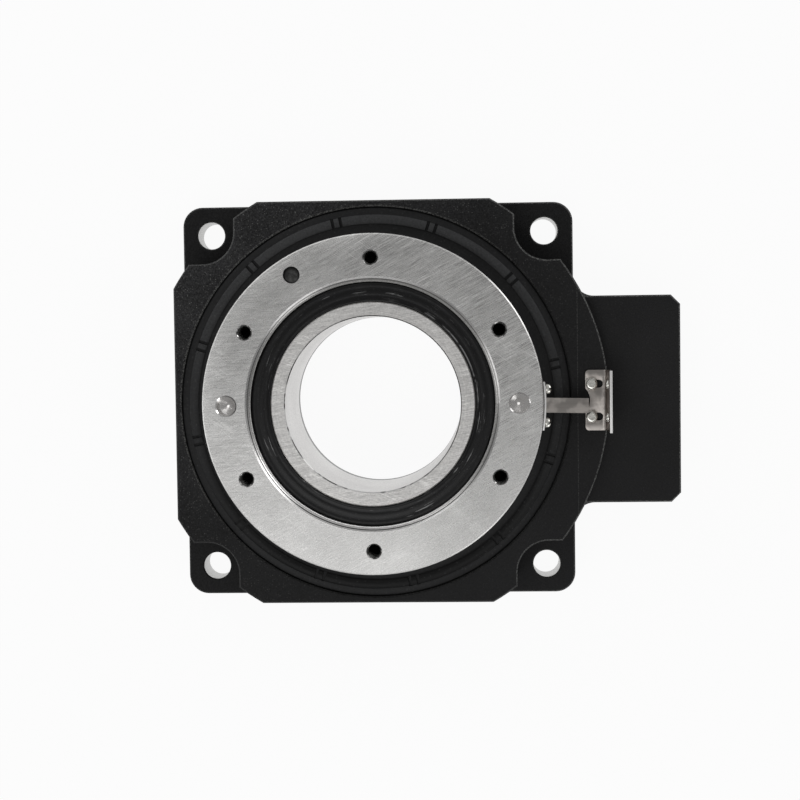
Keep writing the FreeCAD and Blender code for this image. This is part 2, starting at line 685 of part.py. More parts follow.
def screw_seat(body, name, screw, top, axis):
    """A countersunk hole from below. The screw's sizes are screw_dia and screw_head_dia."""
    hole = plus(half(screw + "_dia"), "size.screw_play")
    head = plus(half(screw + "_head_dia"), "size.screw_play")
    cone = less(plus("size.cover_recess", head), hole)
    above = plus(top, "size.past")
    return bore(body, name, [
        ("0", "0"), (head, "0"), (head, "size.cover_recess"), (hole, cone), (hole, above),
        ("0", above)], axis)


def hub_gasket():
    inner = plus(hub_shoulder, "size.part_gap")
    body = turned_body("hub_gasket", [
        (inner, flange_top), (hub_foot, flange_top), (hub_foot, hub_seat), (inner, hub_seat)])
    hole = plus(half("hub_screw_dia"), "2 * size.screw_play")
    holes = bore(body, "gasket_hole", [
        ("0", "0"), (hole, "0"), (hole, "size.floor_level"), ("0", "size.floor_level")],
        (hub_screw_circle, "0"))
    around(body, holes, "size.hub_screw_count")


def countersunk_screw(body, name, screw, low, axis):
    """A screw with its head down, as thick as its tapped hole."""
    radius = less(half(screw + "_dia"), "size.thread_depth + size.fit_play")
    head = half(screw + "_head_dia")
    cone = less(plus(low, head), radius)
    high = plus(low, "size.%s_length" % screw)
    return turn(body, name, "Revolution", [
        ("0", low), (head, low), (radius, cone), (radius, high), ("0", high)], axis)


def hub_screws():
    body = new_body("hub_screws")
    screw = countersunk_screw(
        body, "hub_screw_body", "hub_screw", "size.cover_recess", (hub_screw_circle, "0"))
    around(body, screw, "size.hub_screw_count")


def bearing_lock_nut():
    inner = plus(sleeve_radius, "size.fit_play")
    body = turned_body("bearing_lock_nut", [
        (inner, bearing_top), (nut_radius, bearing_top), (nut_radius, nut_top), (inner, nut_top)])
    slot = new_sketch(body, "nut_slot", "XY_Plane", ("0", "0", bearing_top))
    box_outline(slot, (less(nut_radius, "size.nut_slot_depth"), "-size.nut_slot_width / 2"),
                (plus(nut_radius, "size.past"), "size.nut_slot_width / 2"))
    around(body, pocket_up(body, slot, "size.nut_width"), "size.nut_slot_count")


# Crossed-roller bearing

def bearing_rings():
    """Each ring has half of a square raceway that stands on its edge."""
    apex = "(size.roller_dia + size.roller_play) / 2 * sqrt(2)"
    mouth = less(apex, "size.ring_gap / 2")
    low_corner = less(roller_level, mouth)
    high_corner = plus(roller_level, mouth)
    for label, wall, sign in (("bearing_inner_ring", plus(hub_radius, "size.fit_play"), "-"),
                              ("bearing_outer_ring", less(bearing_wall, "size.fit_play"), "+")):
        face = "%s %s size.ring_gap / 2" % (roller_circle, sign)
        bottom = "%s %s (%s)" % (roller_circle, sign, apex)
        away = "-" if sign == "+" else "+"
        edge = "(%s) %s size.ring_break" % (wall, away)
        turned_body(label, [
            (wall, plus(bearing_level, "size.ring_break")), (edge, bearing_level),
            (face, bearing_level), (face, low_corner), (bottom, roller_level),
            (face, high_corner), (face, bearing_top), (edge, bearing_top),
            (wall, less(bearing_top, "size.ring_break"))])


def bearing_rollers():
    """Every second roller leans inwards, the others lean outwards."""
    body = new_body("bearing_rollers")
    lean = "size.roller_length / 2 / sqrt(2)"
    step = "360 / size.roller_count"
    for name, sign, angle in (("in", -1, "0"), ("out", 1, step)):
        direction = FreeCAD.Vector(sign, 0, 1)
        turned = FreeCAD.Rotation(FreeCAD.Vector(0, 0, 1), number(angle))
        across = "(%s - (%d) * %s)" % (roller_circle, sign, lean)
        roller = rod(body, "roller_" + name, "Additive", half("roller_dia"), "size.roller_length",
                     ("%s * cos(%s)" % (across, angle), "%s * sin(%s)" % (across, angle),
                      less(roller_level, lean)), turned.multVec(direction))
        around(body, roller, "size.roller_count / 2")


def bearing_spacers():
    body = new_body("bearing_spacers")
    reach = "(size.roller_dia + size.roller_play) / 2 * sqrt(2) - size.spacer_play"
    sketch = new_sketch(body, "spacer_section", "XZ_Plane")
    outline(sketch, [
        (less(roller_circle, reach), roller_level), (roller_circle, less(roller_level, reach)),
        (plus(roller_circle, reach), roller_level), (roller_circle, plus(roller_level, reach))])
    spacer = pad(body, sketch, "size.spacer_thick", True)
    around(body, spacer, "size.roller_count")
    bind(body, "Placement.Rotation.Angle", "180 / size.roller_count")


# Table and what turns with it

def table():
    edge = "size.table_break"
    lip = plus(inner_seal_wall, "size.table_break")
    rim = less(table_level, "size.table_rim_drop")
    bore_wall = plus(sleeve_radius, "size.table_bore_gap")
    body = turned_body("table", [
        (plus(inner_seal_wall, "size.table_rim_width"), table_level),
        (less(table_radius, edge), table_level), (table_radius, less(table_level, edge)),
        (table_radius, skirt_top), (skirt_radius, skirt_top), (skirt_radius, bearing_level),
        (bearing_wall, bearing_level), (bearing_wall, bearing_top), (table_shoulder, bearing_top),
        (table_shoulder, table_roof), (bore_wall, table_roof), (bore_wall, seal_floor),
        (inner_seal_wall, seal_floor), (inner_seal_wall, table_lip), (lip, table_lip), (lip, rim)])
    low = less(table_level, "size.bolt_hole_depth")
    hole = blind_hole(body, "bolt_hole", half("bolt_hole_dia"), half("bolt_mouth_dia"), low,
                      (bolt_circle + " * cos(size.bolt_angle)", bolt_circle + " * sin(size.bolt_angle)"))
    around(body, hole, "size.bolt_count")
    low = less(table_level, "size.dowel_depth")
    hole = blind_hole(body, "dowel_hole", half("dowel_dia"), half("dowel_mouth_dia"), low,
                      (bolt_circle, "0"))
    around(body, hole, "2")
    low = less(table_level, "size.plug_recess + size.plug_length")
    bore(body, "filler_hole", [
        ("0", low), (half("plug_dia"), low), (half("plug_dia"), over_table), ("0", over_table)],
        plug_axis)
    thread = less(half("gear_screw_dia"), "size.thread_depth")
    depth = plus(gear_low, "size.gear_screw_length + size.thread_run")
    threads = bore(body, "gear_thread", [
        ("0", gear_low), (thread, gear_low), (thread, depth), ("0", depth)],
        (gear_screw_circle, "0"))
    around(body, threads, "size.gear_screw_count")
    flag_threads(body)


def blind_hole(body, name, radius, mouth, low, axis):
    """A drilled hole from the table's top, with a cone at its end and a chamfered mouth."""
    tip = less(low, "(%s) / 2" % radius)
    return bore(body, name, [
        ("0", tip), (radius, low), (radius, less(table_level, less(mouth, radius))),
        (mouth, table_level), (mouth, over_table), ("0", over_table)], axis)


def flag_direction():
    angle = math.radians(number("size.flag_angle"))
    return FreeCAD.Vector(math.cos(angle), math.sin(angle), 0)


def flag_spot(across, side):
    """A point on the flag, across from the main axis and to one side of the flag's middle."""
    return ("(%s) * cos(size.flag_angle) - (%s) * sin(size.flag_angle)" % (across, side),
            "(%s) * sin(size.flag_angle) + (%s) * cos(size.flag_angle)" % (across, side),
            flag_screw_level)


def flag_threads(body):
    depth = "size.flag_screw_length + size.thread_run"
    for name, sign in (("left", ""), ("right", "-")):
        rod(body, "flag_thread_" + name, "Subtractive", half("small_hole_dia"),
            plus(depth, "size.past"),
            flag_spot(less(table_radius, depth), sign + "size.flag_screw_spacing / 2"),
            flag_direction())


def filler_plug():
    top = less(table_level, "size.plug_recess")
    low = less(top, "size.plug_length")
    radius = less(half("plug_dia"), "size.fit_play")
    turned_body("filler_plug", [("0", low), (radius, low), (radius, top), ("0", top)], plug_axis)


def inner_seal():
    """Lip seal in the table round the fixed sleeve, with two grooves in its face."""
    lip = plus(sleeve_radius, "size.seal_play")
    wall = less(inner_seal_wall, "size.fit_play")
    top = inner_seal_top
    low = less(top, "size.inner_seal_groove")
    slope = "size.inner_seal_slope"
    edge = less(wall, "size.inner_seal_edge")
    groove = less(edge, slope)
    groove_end = less(groove, "size.inner_seal_groove_width")
    ridge = less(groove_end, slope)
    ridge_end = less(ridge, "size.inner_seal_ridge")
    inside = plus(lip, "size.inner_seal_lip")
    turned_body("inner_seal", [
        (lip, seal_floor), (wall, seal_floor), (wall, top), (edge, top), (groove, low),
        (groove_end, low), (ridge, top), (ridge_end, top), (less(ridge_end, slope), low),
        (plus(inside, slope), low), (inside, top), (lip, top)])


def outer_seal():
    """Lip seal in the housing round the table, with a raised band in its face."""
    lip = plus(table_radius, "size.seal_play")
    wall = less(outer_seal_wall, "size.fit_play")
    flat = less(deck_level, "size.outer_seal_step")
    band_outside = less(outer_seal_wall, "size.outer_seal_edge")
    band_inside = plus(table_radius, "size.outer_seal_lip")
    slope = "size.outer_seal_slope"
    turned_body("outer_seal", [
        (lip, seal_seat), (wall, seal_seat), (wall, flat), (band_outside, flat),
        (less(band_outside, slope), deck_level), (plus(band_inside, slope), deck_level),
        (band_inside, flat), (lip, flat)])


# Gears

def polar(radius, angle, level):
    return FreeCAD.Vector(radius * math.cos(angle), radius * math.sin(angle), level)


def tooth_half_angle(radius, teeth, shift):
    """Half the angle that a tooth spans at a radius, by the involute's formula."""
    pressure = math.radians(number("size.pressure_angle"))
    pitch = number("size.gear_module") * teeth / 2
    at_pitch = (math.pi / 2 + 2 * shift * math.tan(pressure)) / teeth
    at_pitch -= number("size.tooth_backlash") / 4 / pitch
    here = math.acos(min(1.0, pitch * math.cos(pressure) / radius))
    involute = math.tan(pressure) - pressure - math.tan(here) + here
    return at_pitch + involute


def gear_face(teeth, shift, level):
    """The outline of a spur gear: per tooth two flanks, a tip arc and a root arc."""
    module = number("size.gear_module")
    pitch = module * teeth / 2
    tip = pitch + module * (number("size.tooth_tip") + shift)
    root = pitch - module * (number("size.tooth_root") - shift)
    base = pitch * math.cos(math.radians(number("size.pressure_angle")))
    foot = max(base, root)
    middle = (foot + tip) / 2
    edges = []
    for index in range(teeth):
        centre = 2 * math.pi * index / teeth
        after = centre + 2 * math.pi / teeth

        def spot(radius, side, about=centre):
            reach = tooth_half_angle(max(radius, foot), teeth, shift)
            return polar(radius, about + side * reach, level)

        edges.append(Part.Arc(spot(foot, -1), spot(middle, -1), spot(tip, -1)).toShape())
        edges.append(Part.Arc(spot(tip, -1), polar(tip, centre, level), spot(tip, 1)).toShape())
        edges.append(Part.Arc(spot(tip, 1), spot(middle, 1), spot(foot, 1)).toShape())
        valley = polar(root, centre + math.pi / teeth, level)
        if foot > root:
            edges.append(Part.LineSegment(spot(foot, 1), spot(root, 1)).toShape())
        edges.append(Part.Arc(spot(root, 1), valley, spot(root, -1, after)).toShape())
        if foot > root:
            edges.append(Part.LineSegment(spot(root, -1, after), spot(foot, -1, after)).toShape())
    return Part.Face(Part.Wire(edges))


def ring_wall(outer, inner, low, high):
    axis = FreeCAD.Vector(0, 0, 1)
    shell = Part.makeCylinder(outer, high - low, FreeCAD.Vector(0, 0, low), axis)
    return shell.cut(Part.makeCylinder(inner, high - low, FreeCAD.Vector(0, 0, low), axis))


def new_feature(label, shape):
    feature = doc.addObject("Part::Feature", label)
    feature.Label = label
    feature.Shape = shape
    pieces.append(feature)
    return feature


def ring_gear():
    """Teeth round the table's skirt, on a flange that also clamps the bearing's outer ring."""
    level = number(bearing_level)
    low = number(gear_low)
    high = number(gear_high)
    teeth = gear_face(int(number(ring_teeth)), -number("size.tooth_shift"), level)
    rim = teeth.extrude(FreeCAD.Vector(0, 0, high - level))
    skirt = number(skirt_radius) + number("size.fit_play")
    rim = rim.cut(Part.makeCylinder(skirt, high - level, FreeCAD.Vector(0, 0, level)))
    flange_bore = number(less(bearing_wall, "size.gear_flange_grip"))
    flange = ring_wall(number(gear_flange), flange_bore, low, level)
    gear = rim.fuse(flange)
    play = number("size.screw_play")
    radius = number(half("gear_screw_dia")) + play
    head = number(half("gear_screw_head_dia")) + play
    count = int(number("size.gear_screw_count"))
    for index in range(count):
        spot = polar(number(gear_screw_circle), 2 * math.pi * index / count, low)
        gear = gear.cut(Part.makeCylinder(radius, level - low, spot))
        gear = gear.cut(Part.makeCone(head, radius, head - radius, spot))
    new_feature("ring_gear", gear)


def gear_screws():
    body = new_body("gear_screws")
    screw = countersunk_screw(
        body, "gear_screw_body", "gear_screw", gear_low, (gear_screw_circle, "0"))
    around(body, screw, "size.gear_screw_count")


# Input: pinion shaft, its bearings and the clamp for the motor's shaft

def pinion_shaft():
    low = number(bearing_level)
    foot = number(shaft_foot)
    radius = number(journal) - number("size.fit_play")
    shoulder = number(plus(journal, "size.shaft_shoulder_step"))
    deck = number(pinion_deck)
    race = number(upper_race)
    top = number(shaft_head)
    teeth = gear_face(int(number("size.pinion_teeth")), number("size.tooth_shift"), low)
    shaft = teeth.extrude(FreeCAD.Vector(0, 0, number("size.gear_face_width")))
    shaft = shaft.fuse(Part.makeCylinder(shoulder, race - deck, FreeCAD.Vector(0, 0, deck)))
    shaft = shaft.fuse(Part.makeCylinder(radius, top - foot, FreeCAD.Vector(0, 0, foot)))
    hole = number(half("motor_bore_dia"))
    depth = top - number("size.shaft_end_wall") - foot
    shaft = shaft.cut(Part.makeCylinder(hole, depth, FreeCAD.Vector(0, 0, foot)))
    slit = number("size.clamp_slit")
    width = number("size.collar_width")
    gap = Part.makeBox(slit, radius * 2, width, FreeCAD.Vector(-slit / 2, 0, foot))
    shaft = shaft.cut(gap)
    feature = new_feature("pinion_shaft", shaft.removeSplitter())
    feature.Placement.Base = FreeCAD.Vector(number(pinion_x), 0, 0)


def clamp_collar():
    inner = plus(journal, "size.fit_play")
    body = turned_body("clamp_collar", [
        (inner, shaft_foot), (collar_radius, shaft_foot), (collar_radius, collar_top),
        (inner, collar_top)], pinion)
    slit = new_sketch(body, "collar_slit", "XY_Plane", (pinion_x, "0", shaft_foot))
    box_outline(slit, ("-size.clamp_slit / 2", "0"), ("size.clamp_slit / 2", collar_radius))
    pocket_up(body, slit, "size.collar_width")
    start = less(pinion_x, collar_radius)
    across = "2 * " + collar_radius
    along = FreeCAD.Vector(1, 0, 0)
    rod(body, "screw_hole", "Subtractive", plus(half("clamp_screw_dia"), "size.clamp_play"),
        across, (start, key_y, key_level), along)
    rod(body, "head_hole", "Subtractive", plus(half("clamp_head_dia"), "size.clamp_play"),
        across, (plus(pinion_x, "size.clamp_head_seat"), key_y, key_level), along)


def clamp_screw():
    body = new_body("clamp_screw")
    along = FreeCAD.Vector(1, 0, 0)
    seat = plus(pinion_x, "size.clamp_head_seat")
    rod(body, "clamp_shank", "Additive", half("clamp_screw_dia"), "size.clamp_screw_length",
        (less(seat, "size.clamp_screw_length"), key_y, key_level), along)
    rod(body, "clamp_head", "Additive", half("clamp_head_dia"), "size.clamp_head_height",
        (seat, key_y, key_level), along)
    rod(body, "clamp_socket", "Subtractive", half("clamp_socket_dia"), "size.clamp_head_height",
        (plus(seat, "size.clamp_head_height / 2"), key_y, key_level), along)


def ball_bearing(name, low):
    """One pinion bearing: two rings with round races, and its balls."""
    middle = "(%s) + size.ball_width / 2" % low
    high = plus(low, "size.ball_width")
    pitch = plus(journal, half("ball_section"))
    depth = plus(half("ball_dia"), "size.ball_play")
    walls = (("inner", journal, "-"), ("outer", race_wall, "+"))
    for side, wall, sign in walls:
        face = "%s %s size.race_gap / 2" % (pitch, sign)
        bottom = "%s %s (%s)" % (pitch, sign, depth)
        flat = "(%s) * size.race_flat" % depth
        mouth = "sqrt((%s)^2 - (size.race_gap / 2)^2) + size.race_lip" % depth
        turned_body("%s_bearing_%s" % (name, side), [
            (wall, low), (face, low), (face, less(middle, mouth)), (bottom, less(middle, flat)),
            (bottom, plus(middle, flat)), (face, plus(middle, mouth)), (face, high),
            (wall, high)], pinion)
    balls(name, pitch, middle)


def balls(name, pitch, level):
    body = new_body(name + "_bearing_balls")
    ball = body.newObject("PartDesign::AdditiveSphere", name + "_ball")
    bind(ball, "Radius", half("ball_dia"))
    bind(ball, "Placement.Base.x", pitch)
    bind(ball, "Placement.Base.z", level)
    doc.recompute()
    around(body, ball, "size.ball_count")
    bind(body, "Placement.Base.x", pinion_x)


def preload_washer():
    outer = less(race_wall, "size.part_gap")
    inner = less(outer, "size.washer_width")
    turned_body("preload_washer", [
        (inner, upper_race_top), (outer, upper_race_top), (outer, washer_top), (inner, washer_top)],
        pinion)


def motor_adapter():
    body = new_body("motor_adapter")
    inner_edge = plus(hub_foot, "size.adapter_gap")
    wide = adapter_side
    start_x = "sqrt((%s)^2 - (%s)^2)" % (inner_edge, wide)
    plate = new_sketch(body, "adapter_plate", "XY_Plane", ("0", "0", "size.cover_recess"))
    outline(plate, [
        (start_x, wide, "right"), (start_x, minus(wide)),
        (adapter_reach, minus(wide)), (adapter_reach, wide)])
    pad(body, plate, "size.adapter_thick")
    boss = new_sketch(body, "adapter_boss", "XY_Plane", (pinion_x, "0", "size.cover_recess"))
    circle_outline(boss, "0", "0", adapter_boss)
    pad(body, boss, less(pinion_deck, "size.cover_recess"))
    seat = plus(race_wall, "size.fit_play")
    lip = less(race_wall, "size.adapter_lip_step")
    inside = plus(collar_radius, "size.collar_gap")
    pilot = half("motor_pilot_dia")
    pilot_top = plus("size.cover_recess", "size.motor_pilot_depth")
    above = plus(pinion_deck, "size.past")
    bore(body, "adapter_bore", [
        ("0", "0"), (pilot, "0"), (pilot, pilot_top), (inside, pilot_top), (inside, lip_low),
        (lip, lip_low), (lip, lower_race), (seat, lower_race), (seat, above), ("0", above)], pinion)
    motor = half("motor_hole_dia")
    above = plus(adapter_top, "size.past")
    for name, sign in (("near", "-"), ("far", "+")):
        x = "(%s) %s size.motor_spacing / 2" % (pinion_x, sign)
        mirrored(body, bore(body, "motor_hole_" + name, [
            ("0", "0"), (motor, "0"), (motor, above), ("0", above)], (x, "size.motor_spacing / 2")))
        x = "(%s) %s size.adapter_screw_x" % (pinion_x, sign)
        mirrored(body, screw_seat(body, "adapter_screw_seat_" + name, "adapter_screw", adapter_top,
                                  (x, adapter_screw_y)))
    rod(body, "adapter_key_hole", "Subtractive", half("access_dia"),
        less(plus(adapter_reach, "size.past"), pinion_x), (pinion_x, key_y, key_level),
        FreeCAD.Vector(1, 0, 0))


def adapter_screws():
    body = new_body("adapter_screws")
    for name, sign in (("near", "-"), ("far", "+")):
        x = "(%s) %s size.adapter_screw_x" % (pinion_x, sign)
        mirrored(body, countersunk_screw(
            body, "adapter_screw_" + name, "adapter_screw", "size.cover_recess",
            (x, adapter_screw_y)))


def access_plug():
    body = new_body("access_plug")
    rod(body, "plug_body", "Additive", less(half("access_dia"), "size.fit_play"),
        "size.access_plug_length",
        (less(extension_reach, "size.access_plug_length"), key_y, key_level),
        FreeCAD.Vector(1, 0, 0))


# Sensor bracket on the housing and the flag that the table carries past it

def sensor_bracket():
    body = new_body("sensor_bracket")
    low = deck_level
    sheet_top = plus(low, "size.bracket_sheet")
    top = plus(low, "size.bracket_height")
    outer = plus(bracket_flange_x, "size.bracket_sheet")
    section = new_sketch(body, "bracket_section", "XZ_Plane")
    outline(section, [
        (bracket_x, low), (outer, low), (outer, top), (bracket_flange_x, top),
        (bracket_flange_x, sheet_top), (bracket_x, sheet_top)])
    pad(body, section, "size.bracket_width", True)

    spots = [(number(bracket_flange_x), number(sheet_top)), (number(outer), number(low))]
    for (x, z), radius in zip(spots, ("size.bracket_bend", "size.bracket_bend + size.bracket_sheet")):
        names = []
        for index, edge in enumerate(body.Tip.Shape.Edges, 1):
            box = edge.BoundBox
            if box.YLength > 1 and abs(box.XMin - x) < 0.01 and abs(box.ZMin - z) < 0.01:
                names.append("Edge%d" % index)
        dress(body, "Fillet", "Radius", radius, names)
    side = number(half("bracket_width"))
    near = number(bracket_x)
    corners = upright_edges(body, [(near, side), (near, -side)])
    dress(body, "Fillet", "Radius", "size.bracket_corner", corners)

    slot_half = half("bracket_slot_width")
    below = less(low, "size.past")
    above = plus(sheet_top, "size.past")
    middle = half("bracket_screw_spacing")
    slot = new_sketch(body, "bracket_slot", "XY_Plane", ("0", "0", low))
    box_outline(slot, (bracket_screw_x, less(middle, slot_half)),
                (bracket_slot_end, plus(middle, slot_half)))
    mirrored(body, pocket_up(body, slot, "size.bracket_sheet + size.past"))
    for name, x in (("near", bracket_screw_x), ("far", bracket_slot_end)):
        mirrored(body, bore(body, "slot_end_" + name, [
            ("0", below), (slot_half, below), (slot_half, above), ("0", above)],
            (x, middle)))

    notch = "size.bracket_notch_depth / 2 + size.bracket_notch_width^2 / size.bracket_notch_depth / 8"
    bore(body, "bracket_notch", [
        ("0", below), (notch, below), (notch, above), ("0", above)],
        (less(plus(bracket_x, "size.bracket_notch_depth"), notch), "0"))
    hole = rod(body, "sensor_hole", "Subtractive", half("sensor_hole_dia"),
               "size.bracket_sheet + 2 * size.past",
               (less(bracket_flange_x, "size.past"), middle,
                plus(low, "size.sensor_hole_rise")),
               FreeCAD.Vector(1, 0, 0))
    mirrored(body, hole)


def bracket_fasteners():
    washer_low = plus(deck_level, "size.bracket_sheet")
    washer_high = plus(washer_low, "size.small_washer_thick")
    body = new_body("bracket_washers")
    inner = plus(half("small_screw_dia"), "size.screw_play")
    mirrored(body, turn(body, "bracket_washer", "Revolution", [
        (inner, washer_low), (half("small_washer_dia"), washer_low),
        (half("small_washer_dia"), washer_high), (inner, washer_high)], bracket_hole))

    body = new_body("bracket_screws")
    shank = less(half("small_hole_dia"), "size.fit_play")
    thread = half("small_screw_dia")
    head = half("small_head_dia")
    top = plus(washer_high, "size.small_head_height")
    low = less(washer_low, "size.small_screw_length")
    edge = "size.small_head_break"
    socket = half("small_socket_dia")
    socket_low = less(top, "size.small_socket_depth")
    mirrored(body, turn(body, "bracket_screw", "Revolution", [
        ("0", low), (shank, low), (shank, deck_level), (thread, deck_level),
        (thread, washer_high), (head, washer_high), (head, less(top, edge)),
        (less(head, edge), top), (socket, top), (socket, socket_low), ("0", socket_low)],
        bracket_hole))


def sensor_flag():
    """A curved plate that hugs the table, with a strip bent out from its lower edge."""
    inner = number(table_radius) + number("size.fit_play")
    sheet_thick = number("size.flag_sheet")
    low = number(flag_low)
    high = number(flag_high)
    wall = ring_wall(inner + sheet_thick, inner, low, high)
    wide = number("size.flag_width")
    reach = number(flag_reach)
    slab = Part.makeBox(reach, wide, high - low, FreeCAD.Vector(0, -wide / 2, low))
    plate = wall.common(slab)
    strip_wide = number("size.flag_strip_width")
    strip = Part.makeBox(reach, strip_wide, sheet_thick, FreeCAD.Vector(0, -strip_wide / 2, low))
    strip = strip.cut(Part.makeCylinder(inner, high, FreeCAD.Vector()))
    flag = plate.fuse(strip)
    radius = number(half("small_screw_dia")) + number("size.screw_play")
    level = number(flag_screw_level)
    side = number(half("flag_screw_spacing"))
    for y in (-side, side):
        start = FreeCAD.Vector(0, y, level)
        flag = flag.cut(Part.makeCylinder(radius, reach, start, FreeCAD.Vector(1, 0, 0)))
    feature = new_feature("sensor_flag", flag.removeSplitter())
    feature.Placement.Rotation = FreeCAD.Rotation(FreeCAD.Vector(0, 0, 1), number("size.flag_angle"))


def flag_screws():
    body = new_body("flag_screws")
    near = "(size.flag_screw_spacing - size.flag_head_dia) / 2"
    seat = "sqrt((%s + size.flag_sheet)^2 - (%s)^2) + size.seal_play" % (table_radius, near)
    for name, sign in (("left", ""), ("right", "-")):
        side = sign + "size.flag_screw_spacing / 2"
        shank = plus("size.flag_screw_length", "size.flag_sheet")
        rod(body, "flag_shank_" + name, "Additive", less(half("small_hole_dia"), "size.fit_play"),
            shank, flag_spot(less(seat, shank), side), flag_direction())
        rod(body, "flag_head_" + name, "Additive", half("flag_head_dia"), "size.flag_head_height",
            flag_spot(seat, side), flag_direction())


# Build, check and write

def build():
    housing()
    centre_hub()
    hub_gasket()
    hub_screws()
    bearing_lock_nut()
    bearing_rings()
    bearing_rollers()
    bearing_spacers()
    table()
    ring_gear()
    gear_screws()
    inner_seal()
    outer_seal()
    filler_plug()
    pinion_shaft()
    clamp_collar()
    clamp_screw()
    ball_bearing("lower", lower_race)
    ball_bearing("upper", upper_race)
    preload_washer()
    motor_adapter()
    adapter_screws()
    access_plug()
    sensor_bracket()
    bracket_fasteners()
    sensor_flag()
    flag_screws()
    doc.recompute()


def check():
    for item in doc.Objects:
        if "Invalid" in item.State or "Error" in item.State:
            raise RuntimeError("%s failed: %s" % (item.Name, item.State))
        if item.isDerivedFrom("PartDesign::Feature") and item.BaseFeature is not None:
            change = item.Shape.Volume - item.BaseFeature.Shape.Volume
            if abs(change) < 1e-6:
                raise RuntimeError("%s changes nothing" % item.Name)
    for piece in pieces:
        if piece.Shape.isNull() or not piece.Shape.isValid():
            raise RuntimeError("%s has no valid shape" % piece.Label)


def write():
    os.makedirs("parts", exist_ok=True)
    for piece in pieces:
        piece.Shape.exportStep("parts/%s.step" % piece.Label)
        box = piece.Shape.BoundBox
        print("%-22s %2d solids  volume %9.1f  x %.2f..%.2f  y %.2f..%.2f  z %.2f..%.2f" % (
            piece.Label, len(piece.Shape.Solids), piece.Shape.Volume,
            box.XMin, box.XMax, box.YMin, box.YMax, box.ZMin, box.ZMax))


fill_sheet()
build()
check()
write()
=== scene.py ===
import math

import bpy
from mathutils import Matrix, Vector


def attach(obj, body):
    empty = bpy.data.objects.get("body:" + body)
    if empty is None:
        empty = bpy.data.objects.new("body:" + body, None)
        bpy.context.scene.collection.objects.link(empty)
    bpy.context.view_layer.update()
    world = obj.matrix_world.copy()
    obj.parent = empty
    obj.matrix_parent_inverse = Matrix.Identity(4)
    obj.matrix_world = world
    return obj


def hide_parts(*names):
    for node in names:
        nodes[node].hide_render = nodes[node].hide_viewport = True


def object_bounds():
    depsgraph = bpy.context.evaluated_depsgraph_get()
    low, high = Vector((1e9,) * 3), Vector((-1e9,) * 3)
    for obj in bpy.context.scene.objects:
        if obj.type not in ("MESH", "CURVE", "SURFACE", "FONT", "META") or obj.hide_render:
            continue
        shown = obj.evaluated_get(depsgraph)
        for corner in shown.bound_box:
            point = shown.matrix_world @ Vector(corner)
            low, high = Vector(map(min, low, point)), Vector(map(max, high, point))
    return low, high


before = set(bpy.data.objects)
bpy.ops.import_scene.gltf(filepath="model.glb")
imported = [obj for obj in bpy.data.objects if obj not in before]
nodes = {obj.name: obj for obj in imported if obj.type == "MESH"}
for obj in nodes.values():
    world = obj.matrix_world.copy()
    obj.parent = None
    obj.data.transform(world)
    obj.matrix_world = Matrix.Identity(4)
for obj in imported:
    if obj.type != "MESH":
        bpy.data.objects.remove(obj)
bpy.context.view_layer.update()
mm = 0.001
mergeWithin = 0.002 * mm  # points closer than this are one
motorAxis = 67.5  # its x in mm, at y = 0
print("frame loaded:", len(nodes), "nodes")


# helpers for modelling, lengths in mm and turns in degrees

def moveBy(across, along, up=0):
    return Matrix.Translation((across * mm, along * mm, up * mm))


def turnBy(degrees, axis="Z"):
    return Matrix.Rotation(math.radians(degrees), 4, axis)


def pickNothing():
    if bpy.context.object and bpy.context.object.mode != "OBJECT":
        bpy.ops.object.mode_set(mode="OBJECT")
    bpy.ops.object.select_all(action="DESELECT")


def pickOnly(piece):
    pickNothing()
    piece.select_set(True)
    bpy.context.view_layer.objects.active = piece


def startPoint(name, across, level):  # one vertex in the XZ plane, ready to be extruded
    pickNothing()
    bpy.ops.mesh.primitive_plane_add(size=mm, location=(0, 0, 0))
    piece = bpy.context.object
    piece.name = name
    piece.data.name = name
    bpy.ops.object.mode_set(mode="EDIT")
    bpy.ops.mesh.select_mode(type="VERT")
    bpy.ops.mesh.select_all(action="SELECT")
    bpy.ops.mesh.merge(type="CENTER")
    bpy.ops.transform.translate(value=(across * mm, 0, level * mm))
    return piece


def extrudeBy(across, level):
    bpy.ops.mesh.extrude_region_move(TRANSFORM_OT_translate={"value": (across * mm, 0, level * mm)})


def mergeDoubles():
    bpy.ops.mesh.select_all(action="SELECT")
    bpy.ops.mesh.remove_doubles(threshold=mergeWithin)


def cleanUp(piece, smooth):  # doubles merged, faces outwards, soft shading up to an angle
    mergeDoubles()
    bpy.ops.mesh.normals_make_consistent(inside=False)
    bpy.ops.object.mode_set(mode="OBJECT")
    bpy.ops.object.shade_smooth_by_angle(angle=math.radians(smooth))
    return piece


def lathe(name, outline, steps, smooth):  # an outline of (across, level) turned about an upright axis
    piece = startPoint(name, *outline[0])
    solid = outline[0][0] == 0  # an outline from axis to axis needs no closing edge
    path = outline if solid else outline + outline[:1]
    for here, there in zip(path, path[1:]):
        extrudeBy(there[0] - here[0], there[1] - here[1])
    bpy.ops.mesh.select_all(action="SELECT")
    bpy.ops.mesh.spin(steps=steps, angle=math.tau, center=(0, 0, 0), axis=(0, 0, 1))
    return cleanUp(piece, smooth)


def placeMesh(piece, matrix):  # the place goes into the mesh and the object stays at the origin
    piece.data.transform(matrix)
    piece.data.update()


def cutterBar(size, place, turn=0):  # a straight bar that mills a slot
    pickNothing()
    bpy.ops.mesh.primitive_cube_add(size=1.0, location=(0, 0, 0))
    bar = bpy.context.object
    scaled = Matrix.Diagonal((size[0] * mm, size[1] * mm, size[2] * mm, 1.0))
    placeMesh(bar, turnBy(turn) @ moveBy(*place) @ scaled)
    return bar


